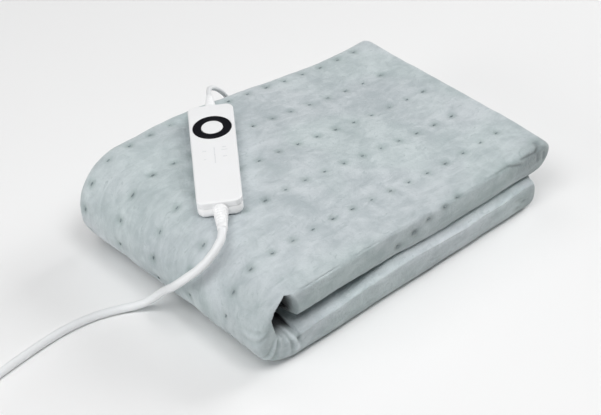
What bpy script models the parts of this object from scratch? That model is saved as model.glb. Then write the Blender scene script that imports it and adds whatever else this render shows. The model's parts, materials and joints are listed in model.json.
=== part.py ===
"""Heated mattress pad, folded to a block, with its hand control and its two leads.

The pad is one quilted sheet.  Its two ends are turned in to the middle, the sides are folded over
in thirds, and the strip so made is folded once more around a big soft wrap.  The hand control lies
on top.  Lengths are in metres, +Z is up, and the pad rests on z = 0.
"""
import math

import bmesh
import bpy
import numpy as np
from mathutils import Matrix, Vector

# ---- the pad: folded size, plies and turns
PAD_LONG = 0.355
PAD_SHORT = 0.235
# How far the closed front edges bulge out past the folded size.
FRONT_BULGE = 0.0050
PLY = 0.0046
PLY_GAP = 0.0010
MIDDLE_GAP = 0.0015
LOWER_END_SETBACK = 0.014
EDGE_SWELL = 0.0012
STACK = 6 * PLY + 5 * PLY_GAP
END_TURN = PLY + PLY_GAP / 2
BACK_TURN = 2 * PLY + 1.5 * PLY_GAP
FRONT_TURN = STACK / 2
# The front edges' shape, by how far along the sheet from the wrap: how square the outer side and the
# gap side are (under 1 is boxier), how high the edge stands out furthest, and how far it stands out.
EDGE_COLUMNS = ("along", "outer", "gap_side", "furthest", "proud")
EDGES = (
    (-0.300, 0.45, 0.65, 0.0130, -0.0015),
    (-0.135, 0.45, 0.65, 0.0130, -0.0015),
    (-0.105, 0.60, 0.80, 0.0150, -0.0010),
    (-0.060, 0.70, 0.90, 0.0150, 0.0000),
    (-0.015, 0.75, 1.10, 0.0200, 0.0015),
    (0.020, 0.70, 1.10, 0.0220, 0.0030),
    (0.085, 0.70, 0.85, 0.0240, 0.0045),
    (0.300, 0.70, 0.80, 0.0240, 0.0040),
)

# ---- the wrap, where the strip is folded in half
WRAP_REACH = 0.0465
WRAP_EYE_FRONT = 0.0050
WRAP_EYE_BACK = 0.0139
WRAP_EYE_RUN = 0.100
WRAP_ARC = math.pi * 0.042
CLOSE_START = 0.080
CLOSE_END_FRONT = 0.205
CLOSE_END_BACK = 0.335

# ---- softening of the folded block
BULB = 0.009
BULB_RUN = 0.045
CORNER_PULL = 0.007
CORNER_RUN = 0.040
CORNER_DEPTH = 0.014
HOLLOW_REACH = 0.070
HOLLOW_COLUMNS = ("x", "z", "to_rim", "inward", "half_height", "depth")
HOLLOWS = (
    (0.0290, 0.0600, 0.0110, 0.0150, 0.0120, 0.0160),
    (0.0285, 0.0400, 0.0120, 0.0170, 0.0140, 0.0190),
)

# ---- the hand control, measured from the middle of its face
CONTROL_LENGTH = 0.142
CONTROL_WIDTH = 0.040
CONTROL_THICK = 0.0155
COVER_THICK = 0.0060
CONTROL_CORNER = 0.0070
CONTROL_FACE = (0.0874, 0.1499, 0.1068)
CONTROL_YAW = math.radians(52.0)
CONTROL_PITCH = math.radians(-1.0)
CONTROL_ROLL = math.radians(-5.0)
CONTROL_CLEAR = 0.0005
CONTROL_PRESS_ROOM = 0.014
CONTROL_PRESS_RUN = 0.020
RING_FROM_MIDDLE = 0.0364
RING_RADIUS = 0.0171
RING_BORE = 0.0102
RING_DEPTH = 0.0020
RING_PROUD = 0.0003
BUTTON_RADIUS = 0.0098
BUTTON_HEIGHT = 0.0036
BUTTON_PROUD = 0.0006
BUTTON_WELL = 0.0046
GAP = 0.0003
STRAIGHT_END = 0.0020

# ---- the leads
MAINS_WIDTH = 0.0072
PAD_LEAD_WIDTH = 0.0045
MAINS_RELIEF_LENGTH = 0.0265
PAD_RELIEF_LENGTH = 0.0240
COIL_RADIUS = 0.0400
COIL_HALF_WIDTH = 0.0120
COIL_HEIGHT = 0.0162
COIL_SOFTNESS = 0.0040
COIL_LIFT = 0.0014
COIL_PLACE = (-0.268, 0.100)
TIE_WIDTH = 0.008
TIE_CLEAR = 0.0008
TIE_THICK = 0.0009
TIE_BEARING = math.radians(200.0)
PLUG_LENGTH = 0.036
PLUG_WIDTH = 0.035
PLUG_THICK = 0.0140
PLUG_PLACE = (-0.375, 0.020)
PLUG_YAW = math.radians(262.0)
PLUG_RELIEF_LENGTH = 0.024
PIN_SPACING = 0.0186
PIN_WIDTH = 0.0048
PIN_LENGTH = 0.019
CONNECTOR_RELIEF_LENGTH = 0.022

# Places along each lead, in x, y and z from the pad's front corner on the floor.
MAINS_ROUTE = (
    (0.0165, 0.0640, 0.0975),
    (0.0050, 0.0620, 0.0905),
    (-0.0060, 0.0655, 0.0815),
    (-0.0140, 0.0730, 0.0722),
    (-0.0150, 0.0820, 0.0618),
    (-0.0120, 0.0925, 0.0505),
    (-0.0085, 0.1045, 0.0385),
    (-0.0060, 0.1160, 0.0260),
    (-0.0090, 0.1270, 0.0130),
    (-0.0175, 0.1370, 0.0060),
    (-0.0300, 0.1450, 0.0040),
    (-0.0500, 0.1520, 0.0038),
    (-0.0800, 0.1555, 0.0038),
    (-0.1200, 0.1530, 0.0038),
    (-0.1650, 0.1475, 0.0038),
    (-0.2050, 0.1455, 0.0038),
    (-0.2330, 0.1492, 0.0038),
    (-0.2530, 0.1543, 0.0038),
)
TAIL_ROUTE = (
    (-0.3133, 0.1339, 0.0080),
    (-0.3320, 0.1240, 0.0048),
    (-0.3490, 0.1080, 0.0042),
    (-0.3610, 0.0860, 0.0058),
)
PAD_LEAD_ROUTE = (
    (0.1520, 0.2320, 0.0965),
    (0.1580, 0.2375, 0.0945),
    (0.1650, 0.2420, 0.0900),
    (0.1740, 0.2450, 0.0825),
    (0.1830, 0.2475, 0.0725),
    (0.1910, 0.2500, 0.0600),
    (0.1980, 0.2530, 0.0440),
    (0.2050, 0.2565, 0.0270),
    (0.2140, 0.2600, 0.0120),
    (0.2280, 0.2655, 0.0045),
    (0.2460, 0.2715, 0.0026),
    (0.2700, 0.2780, 0.0026),
    (0.2950, 0.2818, 0.0026),
    (0.3170, 0.2829, 0.0026),
    (0.3325, 0.2824, 0.0028),
    (0.3404, 0.2792, 0.0032),
    (0.3459, 0.2727, 0.0038),
    (0.3476, 0.2643, 0.0045),
    (0.3453, 0.2561, 0.0053),
    (0.3388, 0.2497, 0.0062),
)
CONNECTOR = {"x": (0.254, 0.298), "depth": 0.024, "z": (0.0010, 0.0130)}

FABRIC = (0.50, 0.57, 0.58, 1.0)
WHITE_PLASTIC = (0.86, 0.87, 0.89, 1.0)
BLACK_PLASTIC = (0.012, 0.012, 0.014, 1.0)
WHITE_CORD = (0.82, 0.84, 0.85, 1.0)
STEEL = (0.62, 0.62, 0.64, 1.0)


def clear_scene():
    for item in list(bpy.data.objects):
        bpy.data.objects.remove(item)


def material(name, colour, roughness, metallic=0.0):
    made = bpy.data.materials.new(name)
    made.use_nodes = True
    shader = made.node_tree.nodes["Principled BSDF"]
    shader.inputs["Base Color"].default_value = colour
    shader.inputs["Roughness"].default_value = roughness
    shader.inputs["Metallic"].default_value = metallic
    return made


def place(name, data, look, parent=None):
    """An object of its own for a mesh or a curve, under its parent."""
    made = bpy.data.objects.new(name, data)
    made.data.materials.append(look)
    made.parent = parent
    bpy.context.scene.collection.objects.link(made)
    return made


def empty(name, matrix, parent=None):
    made = bpy.data.objects.new(name, None)
    made.parent = parent
    made.matrix_local = matrix
    bpy.context.scene.collection.objects.link(made)
    return made


def smooth(t):
    t = np.clip(t, 0.0, 1.0)
    return t * t * (3.0 - 2.0 * t)


# ------------------------------------------------------------------ the pad's folds
def hairpin(points, axis, line, side, centre, arc, square=(1.0, 1.0), wider=0.0, furthest=None):
    """Fold what lies beyond a line back over the rest, around a centre above it.

    `side` is +1 or -1 for the side that is folded over, and `arc` is the run of cloth in the turn.
    `square` is the boxiness of the turn's outer and inner half, `wider` lets the turn bulge further
    out, and `furthest` is the height at which it bulges most.
    """
    beyond = side * (points[:, axis] - line)
    radius = centre - points[:, 2]
    height = points[:, 2]
    if furthest is None:
        furthest = centre
    widest = centre + (furthest - centre) * radius / centre
    angle = math.pi * np.clip(beyond / arc, 0.0, 1.0)
    outer = angle < math.pi / 2
    power = np.where(outer, square[0], square[1])
    across = np.abs(np.sin(angle)) ** power
    rise = np.abs(np.cos(angle)) ** power
    turned = (radius + wider) * across - np.maximum(beyond - arc, 0.0)
    raised = widest + np.where(outer, height - widest, 2 * centre - height - widest) * rise
    folded = beyond > 0.0
    moved = points.copy()
    moved[:, axis] = np.where(folded, line + side * turned, points[:, axis])
    moved[:, 2] = np.where(folded, raised, height)
    return moved


def edge_shape(along):
    """Boxiness of both sides, height and reach of the front edge at places along the sheet."""
    table = np.array(EDGES)
    return [np.interp(along, table[:, 0], table[:, k]) for k in range(1, len(EDGE_COLUMNS))]


def wrap_eye(y):
    """Half the height of the space inside the wrap, small in front and larger behind."""
    return WRAP_EYE_FRONT + (WRAP_EYE_BACK - WRAP_EYE_FRONT) * smooth(y / WRAP_EYE_RUN)


def closing(x, y):
    """How far the upper stack has sunk on to the lower one at this place."""
    end = CLOSE_END_FRONT + (CLOSE_END_BACK - CLOSE_END_FRONT) * smooth(y / WRAP_EYE_RUN)
    return (2 * wrap_eye(y) - MIDDLE_GAP) * smooth((x - CLOSE_START) / (end - CLOSE_START))


def top_height(x, y):
    """Height of the pad's top before the control presses on it."""
    centre = STACK + wrap_eye(y)
    flat = 2 * centre - closing(x, y)
    round_part = np.sqrt(np.clip(1.0 - ((WRAP_REACH - x) / WRAP_REACH) ** 2, 0.0, 1.0))
    return np.where(x < WRAP_REACH, centre * (1.0 + round_part), flat)


def control_axes():
    """Turn of the control: along its length, to its left side, and out of its face."""
    turn = Matrix.Rotation(CONTROL_YAW, 3, "Z") @ Matrix.Rotation(-CONTROL_PITCH, 3, "Y")
    return turn @ Matrix.Rotation(CONTROL_ROLL, 3, "X")


def pressed_by_control(points):
    """Lower the top under the control, with some room round it, so that the control lies in it."""
    axes = np.array(control_axes())
    away = points[:, :2] - np.array(CONTROL_FACE)[:2]
    along = np.abs(away @ axes[:2, 0])
    across = np.abs(away @ axes[:2, 1])
    run = CONTROL_PRESS_RUN
    reach = CONTROL_PRESS_ROOM + run
    under = smooth((CONTROL_LENGTH / 2 + reach - along) / run)
    under = under * smooth((CONTROL_WIDTH / 2 + reach - across) / run)
    normal = axes[:, 2]
    drop = (away @ normal[:2]) / normal[2]
    underside = CONTROL_FACE[2] - drop - (CONTROL_THICK + CONTROL_CLEAR) / normal[2]
    natural = top_height(points[:, 0], points[:, 1])
    moved = points.copy()
    moved[:, 2] *= 1.0 + under * np.minimum(underside / np.maximum(natural, 0.02) - 1.0, 0.0)
    return moved


def rounded_ends(points):
    """Round the closed ends of both stacks, and draw their front corner in."""
    moved = points.copy()
    x, y, z = points.T
    upper = z > STACK + MIDDLE_GAP / 2
    middle = np.where(upper, 1.5 * STACK + MIDDLE_GAP, 0.5 * STACK)
    off_middle = np.clip(np.abs(z - middle) / (STACK / 2), 0.0, 1.0)
    near_end = smooth((x - (PAD_LONG - BULB_RUN)) / BULB_RUN)
    inside = 1.0 - 0.45 * smooth(y / 0.06)
    near_corner = smooth((x - (PAD_LONG - CORNER_RUN)) / CORNER_RUN)
    moved[:, 0] -= BULB * off_middle ** 3 * near_end * inside
    moved[:, 0] -= CORNER_PULL * np.exp(-np.maximum(y, 0.0) / CORNER_DEPTH) * near_corner
    return moved


def buckled_corner(points):
    """Push the front edge in where it goes round the wrap: two hollows with a pleat between."""
    moved = points.copy()
    x, y, z = points.T
    fade = np.clip(1.0 - np.maximum(y, 0.0) / HOLLOW_REACH, 0.0, 1.0) ** 2
    for row in HOLLOWS:
        hollow = dict(zip(HOLLOW_COLUMNS, row))
        away = x - hollow["x"]
        reach = np.where(away < 0.0, hollow["to_rim"], hollow["inward"])
        spread = (away / reach) ** 2 + ((z - hollow["z"]) / hollow["half_height"]) ** 2
        moved[:, 1] += hollow["depth"] * np.clip(1.0 - spread, 0.0, 1.0) ** 1.5 * fade
    return moved


# Where the sheet is cut into facets, as shares of a flat run: along it, and from front to back.
FLAT_CUTS = np.array([0.0, 0.04, 0.10, 0.19, 0.32, 0.48, 0.64, 0.78, 0.88, 0.95, 1.0])
DEPTH_CUTS = np.array([0.0, 0.045, 0.11, 0.20, 0.36, 0.58, 0.80, 1.0])
TURN_CUTS = 5
WRAP_CUTS = 16
FRONT_CUTS = 10


def shares(count):
    """Even shares of a turn, without its start."""
    return np.linspace(0.0, 1.0, count + 1)[1:]


def stations():
    """Cuts across the flat sheet along its length and its width, fold by fold."""
    lower_flat = PAD_LONG - LOWER_END_SETBACK - WRAP_REACH - END_TURN
    upper_flat = PAD_LONG - WRAP_REACH - END_TURN
    end_arc = math.pi * (END_TURN - PLY / 2)
    flap_cuts = FLAT_CUTS[:0:-1]
    turn = shares(TURN_CUTS)
    lower = FLAT_CUTS * lower_flat
    lower_turn = lower_flat + turn * end_arc
    lower_flap = lower_flat + end_arc + (1.0 - flap_cuts[1:]) * lower_flat
    wrapped = -shares(WRAP_CUTS) * WRAP_ARC
    upper = -WRAP_ARC - FLAT_CUTS[1:] * upper_flat
    upper_turn = -WRAP_ARC - upper_flat - turn * end_arc
    upper_flap = -WRAP_ARC - upper_flat - end_arc - (1.0 - flap_cuts[1:]) * upper_flat
    along = np.concatenate([lower, lower_turn, lower_flap, wrapped, upper, upper_turn, upper_flap])

    front_line = FRONT_TURN
    back_line = PAD_SHORT - BACK_TURN
    depth = back_line - front_line
    front_arc = math.pi * (FRONT_TURN - PLY / 2)
    back_arc = math.pi * (BACK_TURN - PLY / 2)
    base = front_line + DEPTH_CUTS * depth
    back_turn = back_line + turn * back_arc
    inner_third = back_line + back_arc + (1.0 - DEPTH_CUTS[-2:0:-1]) * depth
    front_turn = front_line - shares(FRONT_CUTS) * front_arc
    outer_third = front_line - front_arc - DEPTH_CUTS[1:] * depth
    across = np.concatenate([base, back_turn, inner_third, front_turn, outer_third])
    return np.unique(along), np.unique(across), lower_flat, upper_flat


def pad_mesh():
    """The whole pad as one closed skin: both faces of the sheet and its rim, folded point by point."""
    along, across, lower_flat, upper_flat = stations()
    shape = (len(along), len(across))
    flat_x, flat_y = np.meshgrid(along, across, indexing="ij")
    rim_x, rim_y = flat_x.copy(), flat_y.copy()
    rim_x[0, :] -= EDGE_SWELL
    rim_x[-1, :] += EDGE_SWELL
    rim_y[:, 0] -= EDGE_SWELL
    rim_y[:, -1] += EDGE_SWELL
    levels = ((flat_x, flat_y, 0.0), (rim_x, rim_y, PLY / 2), (flat_x, flat_y, PLY))
    layers = [np.stack([x, y, np.full(shape, z)], axis=-1) for x, y, z in levels]
    points = np.concatenate([layer.reshape(-1, 3) for layer in layers])

    end_arc = math.pi * (END_TURN - PLY / 2)
    points = hairpin(points, 0, lower_flat, 1, END_TURN, end_arc)
    points = hairpin(points, 0, -WRAP_ARC - upper_flat, -1, END_TURN, end_arc)
    back_arc = math.pi * (BACK_TURN - PLY / 2)
    points = hairpin(points, 1, PAD_SHORT - BACK_TURN, 1, BACK_TURN, back_arc)
    front_arc = math.pi * (FRONT_TURN - PLY / 2)
    outer, gap_side, furthest, proud = edge_shape(points[:, 0])
    points = hairpin(points, 1, FRONT_TURN, -1, FRONT_TURN, front_arc, (outer, gap_side), proud, furthest)
    eye = wrap_eye(points[:, 1])
    in_upper = points[:, 0] < -WRAP_ARC
    points = hairpin(points, 0, 0.0, -1, STACK + eye, WRAP_ARC, wider=WRAP_REACH - STACK - eye)
    points[:, 0] += WRAP_REACH
    points[:, 2] -= np.where(in_upper, closing(points[:, 0], points[:, 1]), 0.0)
    points = pressed_by_control(rounded_ends(buckled_corner(points)))

    count = shape[0] * shape[1]
    shell = bmesh.new()
    corners = [shell.verts.new(p) for p in points]
    index = np.arange(count).reshape(shape)
    for i in range(shape[0] - 1):
        for j in range(shape[1] - 1):
            quad = (index[i, j], index[i + 1, j], index[i + 1, j + 1], index[i, j + 1])
            shell.faces.new([corners[k] for k in reversed(quad)])
            shell.faces.new([corners[k + 2 * count] for k in quad])
    border = [*index[:, 0], *index[-1, 1:], *index[-2::-1, -1], *index[0, -2:0:-1]]
    for here, after in zip(border, border[1:] + border[:1]):
        for level in (0, count):
            strip = (here + level, after + level, after + level + count, here + level + count)
            shell.faces.new([corners[k] for k in strip])
    loose = [v for v in shell.verts if not v.link_faces]
    bmesh.ops.delete(shell, geom=loose, context="VERTS")
    bmesh.ops.recalc_face_normals(shell, faces=shell.faces)
    mesh = bpy.data.meshes.new("pad")
    shell.to_mesh(mesh)
    shell.free()
    for face in mesh.polygons:
        face.use_smooth = True
    return mesh


# ------------------------------------------------------------------ plastic pieces
def outline(length, width, corner, steps=6):
    """A rectangle with round corners, as points in the plane, anticlockwise."""
    points = []
    for turn in range(4):
        quarter = math.pi / 2
        sign_x = 1 if turn in (0, 3) else -1
        sign_y = 1 if turn in (0, 1) else -1
        centre = (sign_x * (length / 2 - corner), sign_y * (width / 2 - corner))
        for step in range(steps + 1):
            angle = quarter * (turn + step / steps)
            points.append((centre[0] + corner * math.cos(angle), centre[1] + corner * math.sin(angle)))
    return points


def slab(name, length, width, corner, sections, look, parent):
    """A round-cornered block: `sections` pairs a height with how far its outline is drawn in."""
    shell = bmesh.new()
    rings = []
    for height, inset in sections:
        ring = outline(length - 2 * inset, width - 2 * inset, corner - inset)
        rings.append([shell.verts.new((x, y, height)) for x, y in ring])
    for low, high in zip(rings, rings[1:]):
        for k in range(len(low)):
            after = (k + 1) % len(low)
            shell.faces.new((low[k], low[after], high[after], high[k]))
    shell.faces.new(list(reversed(rings[0])))
    shell.faces.new(rings[-1])
    mesh = bpy.data.meshes.new(name)
    shell.to_mesh(mesh)
    shell.free()
    return place(name, mesh, look, parent)


def turned(name, profile, look, parent, steps=48, closed=False):
    """A piece turned about its own Z: `profile` pairs a radius with a height, from the bottom up."""
    shell = bmesh.new()
    rings = []
    for radius, height in profile:
        angles = [2 * math.pi * k / steps for k in range(steps)]
        rings.append([shell.verts.new((radius * math.cos(a), radius * math.sin(a), height)) for a in angles])
    pairs = list(zip(rings, rings[1:]))
    if closed:
        pairs.append((rings[-1], rings[0]))
    for low, high in pairs:
        for k in range(steps):
            after = (k + 1) % steps
            shell.faces.new((low[k], low[after], high[after], high[k]))
    if not closed:
        shell.faces.new(list(reversed(rings[0])))
        shell.faces.new(rings[-1])
    mesh = bpy.data.meshes.new(name)
    bmesh.ops.recalc_face_normals(shell, faces=shell.faces)
    shell.to_mesh(mesh)
    shell.free()
    return place(name, mesh, look, parent)


def cut(target, cutter):
    """Take one piece's volume out of another with an exact Boolean."""
    step = target.modifiers.new("cut_" + cutter.name, "BOOLEAN")
    step.operation = "DIFFERENCE"
    step.solver = "EXACT"
    step.object = cutter
    cutter.hide_render = True
    cutter.display_type = "WIRE"


def control(looks, parent):
    """Hand control: lower shell, cover, black ring and the white push button in its middle."""
    face = Matrix.Translation(CONTROL_FACE) @ control_axes().to_4x4()
    root = empty("control_face", face, parent)
    seam = -COVER_THICK
    base = ((-CONTROL_THICK, 0.0030), (-CONTROL_THICK + 0.0008, 0.0013), (-CONTROL_THICK + 0.0026, 0.0003),
            (-CONTROL_THICK + 0.0046, 0.0), (seam - GAP, 0.0))
    slab("control_base", CONTROL_LENGTH, CONTROL_WIDTH, CONTROL_CORNER, base, looks["plastic"], root)
    lid = ((seam, 0.0), (-0.0012, 0.0), (-0.0004, 0.0004), (0.0, 0.0012))
    cover = slab("control_cover", CONTROL_LENGTH, CONTROL_WIDTH, CONTROL_CORNER, lid, looks["plastic"], root)
    spot = empty("ring_middle", Matrix.Translation((RING_FROM_MIDDLE, 0.0, 0.0)), root)
    recess = RING_RADIUS + GAP
    well = RING_BORE
    pocket = ((well, -BUTTON_WELL), (well, -RING_DEPTH), (recess, -RING_DEPTH), (recess, 0.002))
    cutter = turned("ring_pocket_cutter", pocket, looks["plastic"], spot)
    cut(cover, cutter)
    low = -RING_DEPTH + GAP
    ring = ((RING_RADIUS, low), (RING_RADIUS, RING_PROUD - 0.0003), (RING_RADIUS - 0.0004, RING_PROUD),
            (RING_BORE + 0.0004, RING_PROUD), (RING_BORE, RING_PROUD - 0.0004), (RING_BORE, low))
    turned("control_ring", ring, looks["black"], spot, closed=True)
    foot = BUTTON_PROUD - BUTTON_HEIGHT
    button = ((BUTTON_RADIUS, foot), (BUTTON_RADIUS, BUTTON_PROUD - 0.0006),
              (BUTTON_RADIUS - 0.0006, BUTTON_PROUD))
    turned("control_button", button, looks["plastic"], spot)


def pointing(start, direction):
    """A frame at a place with its Z along a direction."""
    return Matrix.Translation(start) @ Vector(direction).to_track_quat("Z", "Y").to_matrix().to_4x4()


def relief(name, start, end, wide, narrow, look, parent, ribs=0):
    """A tapered strain relief from one place to another, with a few shallow ribs."""
    start, end = Vector(start), Vector(end)
    length = (end - start).length
    root = empty(name + "_axis", pointing(start, end - start), parent)
    profile = [(wide, 0.0), (wide, length * 0.12)]
    for rib in range(ribs):
        at = length * (0.18 + 0.70 * rib / ribs)
        radius = wide + (narrow - wide) * at / length
        profile += [(radius, at), (radius - 0.0006, at + 0.0006), (radius - 0.0006, at + 0.0020),
                    (radius - 0.0002, at + 0.0026)]
    profile += [(narrow + 0.0003, length - 0.0006), (narrow, length)]
    return turned(name, profile, look, root, steps=24)


def through(places, spacing):
    """Even points on a smooth curve through a lead's places, with a short straight start and end."""
    spots = [Vector(p) for p in places]
    ends = [2 * spots[0] - spots[1], *spots, 2 * spots[-1] - spots[-2]]
    fine = []
    for a, b, c, d in zip(ends, ends[1:], ends[2:], ends[3:]):
        for step in range(24):
            t = step / 24
            bend = (2 * a - 5 * b + 4 * c - d) * t * t + (3 * b - a - 3 * c + d) * t ** 3
            fine.append(0.5 * (2 * b + (c - a) * t + bend))
    fine.append(spots[-1])
    run = [0.0]
    for before, after in zip(fine, fine[1:]):
        run.append(run[-1] + (after - before).length)
    count = max(2, round(run[-1] / spacing))
    even = np.linspace(0.0, run[-1], count + 1)
    wanted = [even[0], STRAIGHT_END, *even[1:-1], run[-1] - STRAIGHT_END, even[-1]]
    return [Vector([float(np.interp(w, run, [p[k] for p in fine])) for k in range(3)]) for w in wanted]


def tube(name, places, width, look, parent, detail=3):
    """A plain round lead along its route, its two ends closed."""
    points = through(places, 2.2 * width)
    curve = bpy.data.curves.new(name, "CURVE")
    curve.dimensions = "3D"
    curve.bevel_depth = width / 2
    curve.bevel_resolution = detail
    curve.use_fill_caps = True
    line = curve.splines.new("POLY")
    line.points.add(len(points) - 1)
    for spot, point in zip(line.points, points):
        spot.co = (*point, 1.0)
    return place(name, curve, look, parent)


def control_end(side, off_wall):
    """A place on the control's long axis, off its end wall on one side."""
    along = side * (CONTROL_LENGTH / 2 + off_wall)
    return Vector(CONTROL_FACE) + control_axes() @ Vector((along, 0.0, -CONTROL_THICK / 2))


def coil_middle():
    return Vector((*COIL_PLACE, 0.0))


def mains_side(looks, parent):
    """Relief, lead, tied coil and plug on the mains side."""
    tip = GAP + MAINS_RELIEF_LENGTH
    relief("mains_relief", control_end(-1, GAP), control_end(-1, tip), 0.0066, 0.0041, looks["plastic"],
           parent, ribs=5)
    start = [control_end(-1, tip + GAP + off) for off in (0.0, 0.003, 0.006)]
    tube("mains_lead", (*start, *MAINS_ROUTE), MAINS_WIDTH, looks["cord"], parent)

    root = empty("coil_middle", Matrix.Translation(coil_middle()), parent)
    half, high = COIL_HALF_WIDTH, COIL_HEIGHT
    inner, outer = COIL_RADIUS - half, COIL_RADIUS + half
    section = ((inner + COIL_SOFTNESS, COIL_LIFT), (outer - COIL_SOFTNESS, COIL_LIFT),
               (outer, COIL_LIFT + COIL_SOFTNESS), (outer, high - COIL_SOFTNESS),
               (outer - COIL_SOFTNESS, high), (inner + COIL_SOFTNESS, high),
               (inner, high - COIL_SOFTNESS), (inner, COIL_LIFT + COIL_SOFTNESS))
    turned("mains_coil", section, looks["cord"], root, steps=40, closed=True)
    tie(looks["plastic"], root)

    mouth = PLUG_LENGTH / 2 + GAP + PLUG_RELIEF_LENGTH + GAP
    ends = [plug_frame() @ Vector((-mouth - off, 0.0, 0.0)) for off in (0.008, 0.004, 0.0)]
    tube("mains_tail", (*TAIL_ROUTE, *ends), MAINS_WIDTH, looks["cord"], parent)
    plug(looks, parent)


def tie(look, root):
    """A flat strap round the coil's bundle, lying just off it all round."""
    shell = bmesh.new()
    rings = []
    for off, low in ((TIE_CLEAR, COIL_LIFT - GAP), (TIE_CLEAR + TIE_THICK, COIL_LIFT - GAP - TIE_THICK)):
        half = COIL_HALF_WIDTH + off
        corners = ((-half, low), (half, low), (half, COIL_HEIGHT + off), (-half, COIL_HEIGHT + off))
        for side in (-TIE_WIDTH / 2, TIE_WIDTH / 2):
            rings.append([shell.verts.new((COIL_RADIUS + r, side, z)) for r, z in corners])
    inner_left, inner_right, outer_left, outer_right = rings
    for first, second in ((outer_left, outer_right), (outer_right, inner_right),
                          (inner_right, inner_left), (inner_left, outer_left)):
        for k in range(4):
            after = (k + 1) % 4
            shell.faces.new((first[k], first[after], second[after], second[k]))
    bmesh.ops.recalc_face_normals(shell, faces=shell.faces)
    mesh = bpy.data.meshes.new("coil_tie")
    shell.to_mesh(mesh)
    shell.free()
    made = place("coil_tie", mesh, look, root)
    made.rotation_euler.z = TIE_BEARING
    return made


def plug_frame():
    """Where the plug lies, with its pins towards its own +X."""
    return Matrix.Translation((*PLUG_PLACE, PLUG_THICK / 2)) @ Matrix.Rotation(PLUG_YAW, 4, "Z")


def plug(looks, parent):
    """A plain flat two-pin plug lying on the floor, with its strain relief."""
    root = empty("plug_middle", plug_frame(), parent)
    half = PLUG_THICK / 2
    sections = ((-half, 0.0025), (-half + 0.0012, 0.0006), (-half + 0.0028, 0.0), (half - 0.0028, 0.0),
                (half - 0.0012, 0.0006), (half, 0.0025))
    slab("plug_body", PLUG_LENGTH, PLUG_WIDTH, 0.0080, sections, looks["plastic"], root)
    for side, name in ((-1, "plug_pin_left"), (1, "plug_pin_right")):
        seat = Vector((PLUG_LENGTH / 2 + GAP, side * PIN_SPACING / 2, 0.0))
        axis = empty(name + "_axis", pointing(seat, (1.0, 0.0, 0.0)), root)
        radius = PIN_WIDTH / 2
        profile = ((radius, 0.0), (radius, PIN_LENGTH - 0.0015), (radius - 0.0012, PIN_LENGTH))
        turned(name, profile, looks["steel"], axis, steps=24)
    back = -PLUG_LENGTH / 2 - GAP
    relief("plug_relief", (back, 0.0, 0.0), (back - PLUG_RELIEF_LENGTH, 0.0, 0.0), 0.0058, 0.0041,
           looks["plastic"], root, ribs=4)


def pad_side(looks, parent):
    """Relief and lead from the control to the connector that is sewn to the pad's back edge."""
    tip = GAP + PAD_RELIEF_LENGTH
    relief("pad_relief", control_end(1, GAP), control_end(1, tip), 0.0050, 0.0027, looks["plastic"],
           parent, ribs=4)
    low, high = CONNECTOR["z"]
    left, right = CONNECTOR["x"]
    depth = CONNECTOR["depth"]
    middle = Vector(((left + right) / 2, PAD_SHORT + GAP + depth / 2, (low + high) / 2))
    mouth = (right - left) / 2 + GAP
    reach = mouth + CONNECTOR_RELIEF_LENGTH + GAP
    arrival = [middle + Vector((reach + off, 0.0, 0.0)) for off in (0.008, 0.004, 0.0)]
    start = [control_end(1, tip + GAP + off) for off in (0.0, 0.003, 0.006)]
    route = (*start, *PAD_LEAD_ROUTE, *arrival)
    tube("pad_lead", route, PAD_LEAD_WIDTH, looks["cord"], parent)

    root = empty("connector_middle", Matrix.Translation(middle), parent)
    half = (high - low) / 2
    sections = ((-half, 0.0015), (-half + 0.0015, 0.0), (half - 0.0015, 0.0), (half, 0.0015))
    slab("pad_connector", right - left, depth, 0.0040, sections, looks["plastic"], root)
    relief("connector_relief", (mouth, 0.0, 0.0), (mouth + CONNECTOR_RELIEF_LENGTH, 0.0, 0.0), 0.0048, 0.0027,
           looks["plastic"], root, ribs=4)


def build():
    clear_scene()
    looks = {
        "fabric": material("grey_fleece", FABRIC, 0.95),
        "plastic": material("white_plastic", WHITE_PLASTIC, 0.35),
        "black": material("black_plastic", BLACK_PLASTIC, 0.25),
        "cord": material("white_cord", WHITE_CORD, 0.45),
        "steel": material("plated_pin", STEEL, 0.25, 1.0),
    }
    corner = empty("front_corner", Matrix.Translation((-PAD_LONG / 2, (FRONT_BULGE - PAD_SHORT) / 2, 0.0)))
    place("pad", pad_mesh(), looks["fabric"], corner)
    control(looks, corner)
    mains_side(looks, corner)
    pad_side(looks, corner)


build()
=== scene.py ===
"""Heated mattress pad, folded to a block, with its hand control, its leads and a plain stage.

Lengths are in metres in the frame's own axes: +X from the wrap to the folded ends, +Y from the
front edges to the back edge, +Z up.  Places on the pad and its leads are measured from the pad's
front corner on the floor.
"""
import json
import math

import bmesh
import bpy
import numpy as np
from bpy.props import FloatProperty, FloatVectorProperty, IntProperty, PointerProperty
from mathutils import Matrix, Vector, noise

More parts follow.
